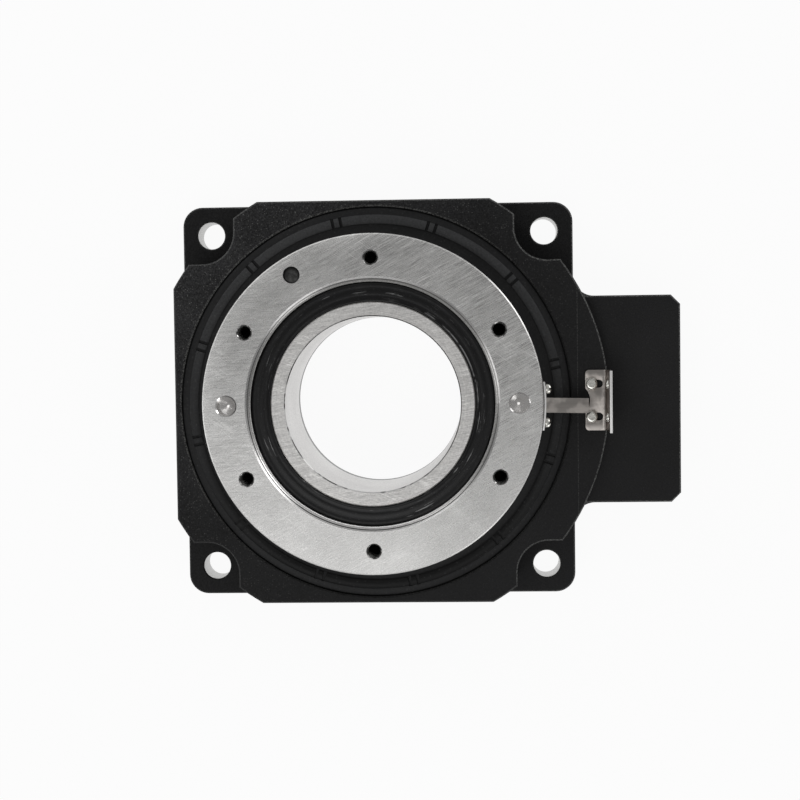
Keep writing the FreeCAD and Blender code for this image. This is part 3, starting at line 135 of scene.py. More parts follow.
def cutterHex(flats, low, high):  # a hexagon key's print
    pickNothing()
    radius, depth = flats * mm / math.sqrt(3), (high - low) * mm
    bpy.ops.mesh.primitive_cylinder_add(vertices=6, radius=radius, depth=depth, location=(0, 0, 0))
    key = bpy.context.object
    placeMesh(key, moveBy(0, 0, (low + high) / 2))
    return key


def cutAway(piece, cutters, smooth):  # all cutters leave the piece in one pass
    pickNothing()
    for cutter in cutters:
        cutter.select_set(True)
    bpy.context.view_layer.objects.active = cutters[0]
    if len(cutters) > 1:
        bpy.ops.object.join()
    tool = bpy.context.object
    pickOnly(piece)
    cut = piece.modifiers.new("cut", "BOOLEAN")
    cut.operation = "DIFFERENCE"
    cut.solver = "EXACT"
    cut.object = tool
    cut.use_self = len(cutters) > 1
    bpy.ops.object.modifier_apply(modifier=cut.name)
    bpy.data.objects.remove(tool)
    bpy.ops.object.shade_smooth_by_angle(angle=math.radians(smooth))


def copyOf(piece, name, matrix):
    twin = piece.copy()
    twin.data = piece.data.copy()
    twin.name = name
    twin.data.name = name
    bpy.context.scene.collection.objects.link(twin)
    placeMesh(twin, matrix)
    return twin


# helpers for shader trees, where a value is a plain one or another node's output

def connect(tree, socket, value):
    if isinstance(value, bpy.types.NodeSocket):
        tree.links.new(value, socket)
    else:
        socket.default_value = value


def put(tree, kind, inputs=None, **settings):  # one shader node
    made = tree.nodes.new("ShaderNode" + kind)
    for key, value in settings.items():
        setattr(made, key, value)
    for key, value in (inputs or {}).items():
        connect(tree, made.inputs[key], value)
    return made


def calc(tree, operation, *values):
    return put(tree, "Math", dict(enumerate(values)), operation=operation).outputs[0]


def plus(tree, first, second):
    return calc(tree, "ADD", first, second)


def minus(tree, first, second):
    return calc(tree, "SUBTRACT", first, second)


def times(tree, first, *others):
    for other in others:
        first = calc(tree, "MULTIPLY", first, other)
    return first


def larger(tree, first, second):
    return calc(tree, "MAXIMUM", first, second)


def isAbove(tree, value, limit):
    return calc(tree, "GREATER_THAN", value, limit)


def isBelow(tree, value, limit):
    return calc(tree, "LESS_THAN", value, limit)


def sizeOf(tree, value):  # without its sign
    return calc(tree, "ABSOLUTE", value)


def remap(tree, value, low, high, toLow=0.0, toHigh=1.0):
    ends = {"From Min": low, "From Max": high, "To Min": toLow, "To Max": toHigh}
    return put(tree, "MapRange", {"Value": value, **ends}).outputs[0]


def axesOf(tree, vector):
    return put(tree, "SeparateXYZ", {"Vector": vector}).outputs


def joined(tree, x, y, z=0.0):
    return put(tree, "CombineXYZ", {"X": x, "Y": y, "Z": z}).outputs[0]


def lengthOf(tree, vector):
    return put(tree, "VectorMath", {0: vector}, operation="LENGTH").outputs["Value"]


def fromAxis(tree, vector):  # how far a spot is from the upright axis
    flat = put(tree, "VectorMath", {0: vector, 1: (1, 1, 0)}, operation="MULTIPLY").outputs[0]
    return lengthOf(tree, flat)


def spunBy(tree, vector, angle):
    return put(tree, "VectorRotate", {"Vector": vector, "Angle": angle}, rotation_type="Z_AXIS").outputs[0]


def noiseOf(tree, place, scale, detail, roughness=0.5):
    inputs = {"Vector": place, "Scale": scale, "Detail": detail, "Roughness": roughness}
    return put(tree, "TexNoise", inputs).outputs["Fac"]


def newGroup(name, inputs, outputs):
    group = bpy.data.node_groups.new(name, "ShaderNodeTree")
    for label, kind, value in inputs:
        socket = group.interface.new_socket(label, in_out="INPUT", socket_type="NodeSocket" + kind)
        if value is not None:
            socket.default_value = value
    for label in outputs:
        group.interface.new_socket(label, in_out="OUTPUT", socket_type="NodeSocketFloat")
    start = group.nodes.new("NodeGroupInput")
    end = group.nodes.new("NodeGroupOutput")
    return group, start.outputs, end.inputs


def putGroup(tree, group, inputs):
    made = tree.nodes.new("ShaderNodeGroup")
    made.node_tree = group
    for key, value in inputs.items():
        connect(tree, made.inputs[key], value)
    return made.outputs


# shared effects

def makeBlastGrain():  # the fine pits and sparkle of a blasted or moulded skin
    group, given, out = newGroup(
        "blastGrain",
        [("Place", "Vector", None), ("Pits per metre", "Float", 1500.0),
         ("Tone", "Float", 0.3), ("Sparkle", "Float", 0.5)],
        ["Shade", "Glints", "Height"])
    place, pits = given["Place"], given["Pits per metre"]
    fine = noiseOf(group, place, pits, 3.0, 0.7)
    broad = noiseOf(group, place, 38.0, 4.0, 0.6)
    mixed = plus(group, times(group, minus(group, fine, 0.5), 2.2), minus(group, broad, 0.5))
    shade = plus(group, times(group, mixed, given["Tone"]), 1.0)
    dots = put(group, "TexVoronoi", {"Vector": place, "Scale": times(group, pits, 0.75)}).outputs
    spark = remap(group, dots["Distance"], 0.34, 0.1)
    chance = put(group, "SeparateColor", {"Color": dots["Color"]}).outputs[0]
    lucky = remap(group, chance, 0.5, 0.9)
    group.links.new(larger(group, shade, 0.05), out["Shade"])
    group.links.new(times(group, spark, lucky, given["Sparkle"]), out["Glints"])
    group.links.new(fine, out["Height"])
    return group


def makeBrushLines():  # straight lines of a brushed face, turned to an angle in the XY plane
    group, given, out = newGroup(
        "brushLines",
        [("Place", "Vector", None), ("Angle", "Float", 0.0), ("Lines per metre", "Float", 2500.0),
         ("Length", "Float", 0.02), ("Contrast", "Float", 0.2)],
        ["Shade", "Height"])
    lines, length = given["Lines per metre"], given["Length"]
    x, y, z = axesOf(group, spunBy(group, given["Place"], given["Angle"]))
    spot = joined(group, times(group, x, length), y, times(group, z, length))
    fine = noiseOf(group, spot, lines, 2.5, 0.7)
    coarse = noiseOf(group, spot, times(group, lines, 0.23), 3.0, 0.6)
    both = minus(group, plus(group, fine, times(group, coarse, 0.3)), 0.65)
    group.links.new(plus(group, times(group, both, given["Contrast"]), 1.0), out["Shade"])
    group.links.new(fine, out["Height"])
    return group


def makeTurnLines():  # rings left by a lathe, about the upright axis
    group, given, out = newGroup(
        "turnLines",
        [("Place", "Vector", None), ("Rings per metre", "Float", 3000.0), ("Contrast", "Float", 0.2)],
        ["Shade", "Height", "Across"])
    x, y, z = axesOf(group, given["Place"])
    across = fromAxis(group, given["Place"])
    along = times(group, calc(group, "ARCTAN2", y, x), 0.0012)
    lines = noiseOf(group, joined(group, across, along, z), given["Rings per metre"], 5.0, 0.7)
    shade = plus(group, times(group, minus(group, lines, 0.5), given["Contrast"]), 1.0)
    group.links.new(shade, out["Shade"])
    group.links.new(lines, out["Height"])
    group.links.new(across, out["Across"])
    return group


def makeScratches():  # sparse bright hairlines that cross each other
    group, given, out = newGroup(
        "scratches",
        [("Place", "Vector", None), ("Angle", "Float", 0.0), ("Per metre", "Float", 260.0),
         ("Share", "Float", 0.5)],
        ["Marks"])
    spun = spunBy(group, given["Place"], given["Angle"])
    x, y, z = axesOf(group, spun)
    bent = plus(group, y, times(group, noiseOf(group, spun, 45.0, 1.0), 0.0012))
    inputs = {"Vector": joined(group, times(group, x, 0.035), bent, z), "Scale": given["Per metre"]}
    cells = put(group, "TexVoronoi", inputs, feature="DISTANCE_TO_EDGE").outputs
    thin = remap(group, cells["Distance"], 0.03, 0.0)
    shown = remap(group, noiseOf(group, given["Place"], 90.0, 2.0), 0.5, 0.62)
    group.links.new(times(group, thin, shown, given["Share"]), out["Marks"])
    return group


def makeHoleDistance():  # how far a spot is from the nearest of the holes set round a circle
    group, given, out = newGroup(
        "holeDistance",
        [("Place", "Vector", None), ("Circle", "Float", 0.046), ("Step", "Float", math.radians(60)),
         ("First", "Float", 0.0)],
        ["Away"])
    x, y = axesOf(group, given["Place"])[:2]
    angle = minus(group, calc(group, "ARCTAN2", y, x), given["First"])
    halfStep = times(group, given["Step"], 0.5)
    folded = calc(group, "WRAP", angle, halfStep, times(group, halfStep, -1.0))
    radius = fromAxis(group, given["Place"])
    outwards = minus(group, times(group, radius, calc(group, "COSINE", folded)), given["Circle"])
    sideways = times(group, radius, calc(group, "SINE", folded))
    group.links.new(lengthOf(group, joined(group, outwards, sideways)), out["Away"])
    return group


def makeSlopeMask():  # chamfers and rounded edges, and faces that stand upright
    group, given, out = newGroup("slopeMask", [("Normal", "Vector", None)], ["Slope", "Upright"])
    up = sizeOf(group, axesOf(group, given["Normal"])[2])
    slope = times(group, isAbove(group, up, 0.25), isBelow(group, up, 0.93))
    group.links.new(slope, out["Slope"])
    group.links.new(isBelow(group, up, 0.6), out["Upright"])
    return group


blastGrain = makeBlastGrain()
brushLines = makeBrushLines()
turnLines = makeTurnLines()
scratches = makeScratches()
holeDistance = makeHoleDistance()
slopeMask = makeSlopeMask()
print("shader groups made")


def grainOn(tree, place, pits, tone, sparkle):
    inputs = {"Place": place, "Pits per metre": pits, "Tone": tone, "Sparkle": sparkle}
    return putGroup(tree, blastGrain, inputs)


def brushOn(tree, place, degrees, lines, length, contrast):
    inputs = {"Place": place, "Angle": math.radians(degrees), "Lines per metre": lines}
    return putGroup(tree, brushLines, {**inputs, "Length": length, "Contrast": contrast})


def ringsOn(tree, place, rings, contrast):
    return putGroup(tree, turnLines, {"Place": place, "Rings per metre": rings, "Contrast": contrast})


def scratchesOn(tree, place, degrees, number, share):
    inputs = {"Place": place, "Angle": math.radians(degrees), "Per metre": number, "Share": share}
    return putGroup(tree, scratches, inputs)["Marks"]


def holesOn(tree, place, circle, step, first):  # step and first in degrees
    inputs = {"Place": place, "Circle": circle, "Step": math.radians(step), "First": math.radians(first)}
    return putGroup(tree, holeDistance, inputs)["Away"]


def facingOf(tree):
    return putGroup(tree, slopeMask, {"Normal": put(tree, "NewGeometry").outputs["True Normal"]})


# materials

finishes = {}  # each material by its name
hairDepth = 0.008 * mm  # of brushed and turned lines


def newMaterial(name, **values):  # values are plain Principled inputs, the same all over
    material = bpy.data.materials.new(name)
    material.use_nodes = True
    tree = material.node_tree
    tree.nodes.clear()
    shader = put(tree, "BsdfPrincipled")
    tree.links.new(shader.outputs[0], put(tree, "OutputMaterial").inputs[0])
    for key, value in values.items():
        shader.inputs[key.replace("_", " ")].default_value = value
    finishes[name] = material
    return tree, shader, put(tree, "TexCoord").outputs["Object"]


def asColour(value):
    return value if isinstance(value, bpy.types.NodeSocket) else (*value, 1.0)


def tint(tree, colour, shade):  # a colour made lighter or darker by a value
    grey = put(tree, "CombineColor", {"Red": shade, "Green": shade, "Blue": shade}).outputs[0]
    inputs = {0: 1.0, 6: asColour(colour), 7: grey}
    return put(tree, "Mix", inputs, data_type="RGBA", blend_type="MULTIPLY").outputs[2]


def blendColours(tree, share, first, second):
    inputs = {0: share, 6: asColour(first), 7: asColour(second)}
    return put(tree, "Mix", inputs, data_type="RGBA").outputs[2]


def blendValues(tree, share, first, second):
    return put(tree, "Mix", {0: share, 2: first, 3: second}, data_type="FLOAT").outputs[0]


def roughBy(tree, height, middle, less, more):  # smoother in the hollows than on the ridges
    return remap(tree, height, 0.3, 0.7, middle - less, middle + more)


def paint(tree, shader, colour, rough):
    tree.links.new(colour, shader.inputs["Base Color"])
    tree.links.new(rough, shader.inputs["Roughness"])


def addBump(tree, shader, height, depth, strength=1.0):
    bump = put(tree, "Bump", {"Height": height, "Distance": depth, "Strength": strength})
    tree.links.new(bump.outputs[0], shader.inputs["Normal"])


blackFinish = {
    "colour": (0.0075, 0.0075, 0.0078),
    "bareMetal": (0.5, 0.5, 0.49),
    "rubbedAndLitEdge": (0.3, 0.3, 0.29),  # painted highlight along edges and chamfers, partly where handling has polished them
    # dust and painted sparkle on the grain
    "dustAndSparkle": (0.22, 0.22, 0.21),
    "roughness": 0.6,
    "bareRoughness": 0.35,
    "specular": 0.24,
    "pits": 2300.0,
    "pitDepth": 0.14 * mm,
    "deck": (12 * mm, 31 * mm),  # dust, painted sparkle and painted light grow from the first level to the second
    "earHoleCircle": 78.49 * mm,
    "earHoleRadius": 4.52 * mm,
    "boreEdge": 64.5 * mm,
    "joinLine": 65.0 * mm,  # faint line where the boss meets the square frame
    "joinHalf": 0.12 * mm,
    "joinLevel": 31.5 * mm,
}


def makeBlackFinish(name, housing):  # blasted and anodised black, with painted light, painted sparkle and painted highlights on its edges; the ear holes' walls are bare
    look = blackFinish
    tree, shader, place = newMaterial(name, Specular_IOR_Level=look["specular"])
    x, y, z = axesOf(tree, place)
    upLeft = minus(tree, y, x)  # grainier, with more dust and painted sparkle, towards the upper left; painted lighter towards the lower right and on the deck at the upper left
    grain = grainOn(tree, place, look["pits"], tone=remap(tree, upLeft, -0.09, 0.06, 0.7, 2.7), sparkle=1.0)
    onDeck = remap(tree, z, *look["deck"])
    # painted light: the whole body lighter towards the lower right, the deck lighter towards the upper left
    paintedDeckLight = times(tree, remap(tree, upLeft, 0.0, 0.1, 0.0, 2.2), onDeck)
    paintedLight = plus(tree, remap(tree, upLeft, -0.09, 0.02, 1.55, 1.0), paintedDeckLight)
    # dust and painted sparkle: the grain's glints painted pale, more on the deck towards the upper left
    dustAndSparkleShare = times(tree, remap(tree, upLeft, -0.06, 0.1, 0.06, 0.8), onDeck)
    colour = tint(tree, look["colour"], times(tree, grain["Shade"], paintedLight))
    colour = blendColours(tree, times(tree, grain["Glints"], dustAndSparkleShare), colour, look["dustAndSparkle"])
    rough = minus(tree, look["roughness"], times(tree, grain["Glints"], 0.2))
    # wear and painted highlight on chamfers and edges, stronger towards the upper right
    broken = remap(tree, noiseOf(tree, place, scale=2600.0, detail=1.0), 0.4, 0.62)
    wearAndHighlight = remap(tree, plus(tree, x, y), -0.09, 0.06, 0.04, 0.42)
    if housing:  # the seal bore's edge has its own wear and painted highlight, stronger towards the upper left
        nearBore = isBelow(tree, fromAxis(tree, place), look["boreEdge"])
        wearAndHighlight = blendValues(tree, nearBore, wearAndHighlight, remap(tree, upLeft, -0.02, 0.05, 0.08, 0.5))
    rubbedAndLitEdge = times(tree, facingOf(tree)["Slope"], times(tree, broken, wearAndHighlight))
    if housing:
        fromLine = sizeOf(tree, minus(tree, x, look["joinLine"]))
        line = times(tree, isBelow(tree, fromLine, look["joinHalf"]), isAbove(tree, z, look["joinLevel"]))
        rubbedAndLitEdge = larger(tree, rubbedAndLitEdge, times(tree, line, times(tree, broken, 0.2)))
    colour = blendColours(tree, rubbedAndLitEdge, colour, look["rubbedAndLitEdge"])
    if housing:
        away = holesOn(tree, place, look["earHoleCircle"], step=90, first=45)
        bare = isBelow(tree, away, look["earHoleRadius"])
        colour = blendColours(tree, bare, colour, look["bareMetal"])
        rough = blendValues(tree, bare, rough, look["bareRoughness"])
        tree.links.new(bare, shader.inputs["Metallic"])
    paint(tree, shader, colour, rough)
    addBump(tree, shader, grain["Height"], look["pitDepth"], 0.8)


tableFinish = {
    "colour": (0.58, 0.575, 0.565),
    "brushAngle": -28,  # upper right
    "sideAngle": -4,  # left
    "crossAngle": 38,  # later handling marks
    "lines": 4700.0,
    "contrast": 1.5,
    "grain": 0.5,
    "roughness": 0.3,
    "pinRoughness": 0.16,
    "holeCircle": 46 * mm,
    "boltHole": 2.14 * mm,
    "boltMouth": 2.5 * mm,
    "pinHole": 3.4 * mm,
    "pinWall": (0.82, 0.81, 0.8),
    # painted shade inside the bolt holes and in a dark line at the bevel's foot on the lower side
    "thread": (0.04, 0.04, 0.04),
    # painted shade in the bolt holes' mouths
    "mouth": (0.2, 0.198, 0.195),
    # painted highlight, on the lower side of the bore's bevel and ledge and as glints in the bolt holes'
    # mouths
    "bright": (0.9, 0.89, 0.88),
    "ledge": (0.42, 0.415, 0.405),  # painted shade on the ledge above the inner seal
    "ledgeEnd": 39.2 * mm,
    # painted shade at the bevel's foot, a painted grey reflection along it, and a painted glint
    "bevelFoot": (0.17, 0.168, 0.165),
    "bevelEdge": (0.5, 0.495, 0.49),
    "bevelGlint": (1.0, 0.99, 0.98),
    "footEnd": (39.4 * mm, 39.55 * mm),
    "bevelEnd": 40.06 * mm,
    "paintedSheen": (47.5 * mm, 52.8 * mm),  # painted sheen, growing outwards, at the upper left
}


def makeTableSteel(name, look):  # brushed top, turned rim, painted highlights and shade on the bevel round the bore and in the bolt holes
    tree, shader, place = newMaterial(name, Metallic=1.0)
    x, y = axesOf(tree, place)[:2]
    right = plus(tree, times(tree, x, 0.9), times(tree, y, 0.35))
    low = minus(tree, y, times(tree, x, 0.35))
    main = brushOn(tree, place, look["brushAngle"], look["lines"], length=0.035, contrast=look["contrast"])
    weaker = look["contrast"] * 0.7
    side = brushOn(tree, place, look["sideAngle"], look["lines"], length=0.05, contrast=weaker)
    streaks = blendValues(tree, remap(tree, right, -0.02, 0.02), side["Shade"], main["Shade"])
    streaks = blendValues(tree, remap(tree, low, -0.034, -0.004, 0.8, 0.0), streaks, 1.0)
    grain = grainOn(tree, place, pits=2900.0, tone=look["grain"], sparkle=0.0)
    streaks = times(tree, streaks, grain["Shade"])
    rings = ringsOn(tree, place, rings=2600.0, contrast=0.4)
    upright = facingOf(tree)["Upright"]
    streaks = blendValues(tree, upright, streaks, rings["Shade"])
    clouds = noiseOf(tree, place, scale=55.0, detail=3.0)
    shade = times(tree, streaks, remap(tree, clouds, 0.3, 0.7, 0.94, 1.05))
    radius = fromAxis(tree, place)
    # painted sheen near the outer edge at the upper left
    upLeft = remap(tree, minus(tree, y, x), 0.035, 0.06)
    paintedSheen = times(tree, remap(tree, radius, *look["paintedSheen"], 0.0, 0.24), upLeft)
    shade = times(tree, shade, plus(tree, paintedSheen, 1.0))
    marks = scratchesOn(tree, place, look["brushAngle"], number=330.0, share=0.5)
    crossed = scratchesOn(tree, place, look["crossAngle"], number=300.0, share=0.5)
    onTop = times(tree, minus(tree, 1.0, upright), remap(tree, low, -0.045, -0.015, 0.25, 1.0))
    shade = plus(tree, shade, times(tree, plus(tree, marks, crossed), times(tree, onTop, 0.5)))
    colour = tint(tree, look["colour"], shade)
    # painted light round the bore: the lower side of the ledge and bevel painted bright, with a painted
    # dark line at the bevel's foot there
    lowSide = remap(tree, plus(tree, y, times(tree, x, 0.3)), -0.032, -0.008, 1.0, 0.0)
    ledge = blendColours(tree, lowSide, look["ledge"], look["bright"])
    foot = blendColours(tree, lowSide, look["bevelFoot"], look["thread"])
    middle = remap(tree, sizeOf(tree, x), 0.008, 0.022)  # the painted glint lies at the middle of the upper side
    edge = blendColours(tree, middle, look["bevelGlint"], look["bevelEdge"])
    edge = blendColours(tree, lowSide, edge, look["bright"])
    bevel = blendColours(tree, remap(tree, radius, *look["footEnd"]), foot, edge)
    colour = blendColours(tree, isBelow(tree, radius, look["bevelEnd"]), colour, bevel)
    colour = blendColours(tree, isBelow(tree, radius, look["ledgeEnd"]), colour, ledge)
    # painted shade in the bolt holes and their mouths, with painted glints in the mouths
    mouthGlints = remap(tree, noiseOf(tree, place, scale=900.0, detail=1.0), 0.56, 0.64)
    mouth = blendColours(tree, mouthGlints, look["mouth"], look["bright"])
    bolts = holesOn(tree, place, look["holeCircle"], step=60, first=30)
    pins = holesOn(tree, place, look["holeCircle"], step=180, first=0)
    inPin = isBelow(tree, pins, look["pinHole"])
    colour = blendColours(tree, isBelow(tree, bolts, look["boltMouth"]), colour, mouth)
    colour = blendColours(tree, isBelow(tree, bolts, look["boltHole"]), colour, look["thread"])
    colour = blendColours(tree, inPin, colour, look["pinWall"])
    relief = blendValues(tree, upright, main["Height"], rings["Height"])
    rough = roughBy(tree, relief, look["roughness"], 0.07, 0.07)
    paint(tree, shader, colour, blendValues(tree, inPin, rough, look["pinRoughness"]))
    addBump(tree, shader, plus(tree, relief, times(tree, marks, -0.5)), hairDepth, 0.7)


hubFinish = {
    "colour": (0.68, 0.67, 0.655),
    "wall": (0.76, 0.75, 0.74),
    # painted shade and painted glints on the bore's top edge
    "edge": (0.1, 0.1, 0.1),
    "glint": (0.95, 0.95, 0.94),
    # painted shade at the foot of the upright walls
    "foot": (0.22, 0.22, 0.22),
    "footLevel": 4.5 * mm,
    "boreEdge": 30 * mm,
    "roughness": 0.45,
    "rings": 2600.0,
    "scratchAngle": 22.9183,  # 0.4 radians
    "radialAngle": -10,
}


def makeHubSteel(name, look):  # turned face with fine scratches, satin bore; painted shade and glints on the bore's top edge, painted shade at the foot of the upright walls
    tree, shader, place = newMaterial(name, Metallic=1.0)
    x, y, z = axesOf(tree, place)
    lines = ringsOn(tree, place, look["rings"], contrast=0.6)
    marks = scratchesOn(tree, place, look["scratchAngle"], number=420.0, share=0.8)
    speck = grainOn(tree, place, pits=1800.0, tone=0.35, sparkle=0.2)["Shade"]
    radial = brushOn(tree, place, look["radialAngle"], lines=3600.0, length=0.05, contrast=1.1)
    shade = plus(tree, times(tree, lines["Shade"], radial["Shade"], speck), times(tree, marks, 0.4))
    facing = facingOf(tree)
    # painted shade at the foot of the upright walls
    atFoot = isBelow(tree, z, look["footLevel"])
    wall = blendColours(tree, atFoot, tint(tree, look["wall"], speck), look["foot"])
    colour = blendColours(tree, facing["Upright"], tint(tree, look["colour"], shade), wall)
    # painted glints on the bore's dark top edge, more towards the lower left
    broken = remap(tree, noiseOf(tree, place, scale=210.0, detail=2.0), 0.48, 0.56)
    broken = times(tree, broken, remap(tree, plus(tree, x, y), -0.03, 0.0, 1.0, 0.15))
    atBore = times(tree, facing["Slope"], isBelow(tree, fromAxis(tree, place), look["boreEdge"]))
    edge = blendColours(tree, broken, look["edge"], look["glint"])
    rough = roughBy(tree, lines["Height"], look["roughness"], 0.05, 0.07)
    paint(tree, shader, blendColours(tree, atBore, colour, edge), rough)
    addBump(tree, shader, plus(tree, lines["Height"], times(tree, marks, -0.5)), hairDepth)


turnedMetals = {  # colour and roughness
    "raceSteel": ((0.5, 0.5, 0.5), 0.28),
    "gearSteel": ((0.36, 0.36, 0.37), 0.34),
}


def makeTurnedMetal(name, colour, roughness):
    tree, shader, place = newMaterial(name, Metallic=1.0)
    lines = ringsOn(tree, place, rings=3000.0, contrast=0.3)
    clouds = noiseOf(tree, place, scale=70.0, detail=3.0)
    shade = times(tree, lines["Shade"], remap(tree, clouds, 0.3, 0.7, 0.95, 1.04))
    rough = roughBy(tree, lines["Height"], roughness, 0.05, 0.06)
    paint(tree, shader, tint(tree, colour, shade), rough)
    addBump(tree, shader, lines["Height"], 0.006 * mm)


grainMetals = {  # colour and roughness
    "rollerSteel": ((0.62, 0.62, 0.62), 0.16),
    "screwSteel": ((0.3, 0.3, 0.29), 0.36),
    "smallScrewSteel": ((0.84, 0.83, 0.78), 0.22),
    "threadSteel": ((0.4, 0.4, 0.39), 0.25),
}


def makeGrainMetal(name, colour, roughness):  # plated or stainless fasteners
    tree, shader, place = newMaterial(name, Metallic=1.0)
    grain = grainOn(tree, place, pits=1600.0, tone=0.3, sparkle=0.3)
    rough = roughBy(tree, grain["Height"], roughness, 0.06, 0.08)
    paint(tree, shader, tint(tree, colour, grain["Shade"]), rough)
    addBump(tree, shader, grain["Height"], 0.01 * mm, 0.5)


sheetFinish = {
    "colour": (0.52, 0.485, 0.455),
    "bend": (0.33, 0.28, 0.25),  # painted shade, browner and darker where it stands up
    "roughness": 0.4,
    "cutRoughness": 0.55,
    "cutLevel": 45.85 * mm,  # above it are the cut top edges
    "cutEdge": (0.92, 0.91, 0.9),
    "gapShadow": (0.03, 0.03, 0.03),  # painted shadow in the gap beside the table
    "seamEnd": 53.76 * mm,
}


def makeSheetMetal(name, look):  # rolled stainless sheet with cloudy patches at random, painted shade where it stands up and a painted shadow beside the table
    tree, shader, place = newMaterial(name, Metallic=1.0)
    lines = brushOn(tree, place, degrees=0, lines=3600.0, length=0.04, contrast=0.3)
    clouds = noiseOf(tree, place, scale=300.0, detail=2.0, roughness=0.4)
    shade = times(tree, lines["Shade"], remap(tree, clouds, 0.42, 0.56, 0.7, 1.06))
    flat, bend = tint(tree, look["colour"], shade), tint(tree, look["bend"], shade)
    # painted shade on the faces that stand up
    tone = blendColours(tree, facingOf(tree)["Upright"], flat, bend)
    cut = isAbove(tree, axesOf(tree, place)[2], look["cutLevel"])
    # painted shadow in the gap beside the table, on the cut edge next to it
    atSeam = isBelow(tree, fromAxis(tree, place), look["seamEnd"])
    edge = blendColours(tree, atSeam, look["cutEdge"], look["gapShadow"])
    rough = roughBy(tree, clouds, look["roughness"], 0.06, 0.08)
    rough = blendValues(tree, cut, rough, look["cutRoughness"])
    paint(tree, shader, blendColours(tree, cut, tone, edge), rough)
    addBump(tree, shader, lines["Height"], hairDepth)


rubbers = {
    "innerRubber": {
        "colour": (0.0042, 0.0042, 0.0046), "roughness": 0.3, "coat": 0.1, "specular": 0.26,
        "rings": 4200.0, "ringGlints": 0.35, "lip": 33.02 * mm, "arcsEnd": 37.2 * mm},
    "outerRubber": {
        "colour": (0.0165, 0.0167, 0.0172), "roughness": 0.5, "coat": 0.03, "specular": 0.2,
        "rings": 700.0, "ringGlints": 0.15, "bandLight": (0.24, 3.3), "bandLevel": 31.32 * mm, "slotLevel": 30 * mm},
    "gasketRubber": {
        "colour": (0.02, 0.02, 0.02), "roughness": 0.6, "coat": 0.0, "specular": 0.32,
        "rings": 700.0, "ringGlints": 0.1},
}
# dust, and painted glints, on the rubber
rubberDustAndGlint = (0.34, 0.34, 0.34)


def makeRubber(name, look):  # moulded seal rubber with fine rings, a little dust and painted glints
    tree, shader, place = newMaterial(name, Coat_Roughness=0.25, Specular_IOR_Level=look["specular"])
    x, y, z = axesOf(tree, place)
    lines = ringsOn(tree, place, look["rings"], contrast=0.5)
    grain = grainOn(tree, place, pits=1400.0, tone=0.5, sparkle=0.6)
    shade = times(tree, lines["Shade"], grain["Shade"])
    if "bandLight" in look:  # painted light: the raised band darker towards the lower side and lighter towards the upper side; painted shade, ten times darker, below slotLevel
        bandLight = remap(tree, y, -0.05, 0.05, *look["bandLight"])
        bandLight = blendValues(tree, isAbove(tree, z, look["bandLevel"]), 1.0, bandLight)
        shade = times(tree, shade, blendValues(tree, isAbove(tree, z, look["slotLevel"]), 0.1, bandLight))
    # painted glints along the fine rings, stronger towards the upper right
    patch = remap(tree, noiseOf(tree, place, scale=130.0, detail=2.0), 0.5, 0.66)
    glintSide = remap(tree, plus(tree, x, y), -0.03, 0.05, 0.25, 1.0)
    ringGlints = times(tree, remap(tree, lines["Height"], 0.58, 0.7), times(tree, patch, glintSide))
    pale = larger(tree, times(tree, grain["Glints"], 0.12), times(tree, ringGlints, look["ringGlints"]))
    if "lip" in look:  # painted glints along the polished lip, and painted glints in fine arcs outside it
        arcs = ringsOn(tree, place, rings=1900.0, contrast=0.0)["Height"]
        arcs = times(tree, remap(tree, arcs, 0.59, 0.63, 0.0, 0.9), patch)
        arcs = times(tree, arcs, isBelow(tree, lines["Across"], look["arcsEnd"]))
        dashes = remap(tree, noiseOf(tree, place, scale=260.0, detail=2.5), 0.5, 0.58)
        upRight = plus(tree, times(tree, x, 0.85), times(tree, y, 0.52))  # where most of the painted glints are
        facing = remap(tree, upRight, 0.0265, 0.0325, 0.02, 0.9)
        fromLip = sizeOf(tree, minus(tree, lines["Across"], look["lip"]))
        onLip = remap(tree, fromLip, 0.1 * mm, 0.22 * mm, 1.0, 0.0)
        pale = larger(tree, larger(tree, pale, arcs), times(tree, onLip, dashes, facing))
    colour = blendColours(tree, pale, tint(tree, look["colour"], shade), rubberDustAndGlint)
    paint(tree, shader, colour, roughBy(tree, lines["Height"], look["roughness"], 0.08, 0.1))
    coat = remap(tree, grain["Height"], 0.3, 0.7, look["coat"] * 0.6, look["coat"])
    tree.links.new(coat, shader.inputs["Coat Weight"])
    addBump(tree, shader, lines["Height"], 0.01 * mm)


plastics = {
    "spacerNylon": {"colour": (0.6, 0.58, 0.52), "roughness": 0.5, "mottle": 0.7},
    "plugGrey": {"colour": (0.02, 0.02, 0.02), "roughness": 0.42, "mottle": 2.4},
    "shadowedPlug": {
        "colour": (0.026, 0.026, 0.025), "roughness": 0.42, "mottle": 2.6,
        "clean": (-24.31 * mm, 40.2 * mm)},  # painted shadow in a crescent at the upper left of this spot, painted light near it
}


def makePlastic(name, look):
    tree, shader, place = newMaterial(name, Specular_IOR_Level=0.35)
    grain = grainOn(tree, place, pits=1100.0, tone=look["mottle"], sparkle=0.2)
    shade = grain["Shade"]
    # painted shadow: lighter near this spot and darker away from it, a dark crescent at the plug's upper
    # left
    if "clean" in look:
        inputs = {0: place, 1: (*look["clean"], 0.0)}
        spot = put(tree, "VectorMath", inputs, operation="SUBTRACT").outputs[0]
        shade = times(tree, shade, remap(tree, fromAxis(tree, spot), 1.2 * mm, 2.7 * mm, 1.5, 0.05))
    rough = roughBy(tree, grain["Height"], look["roughness"], 0.06, 0.06)
    paint(tree, shader, tint(tree, look["colour"], shade), rough)
    addBump(tree, shader, grain["Height"], 0.08 * mm, 0.6)


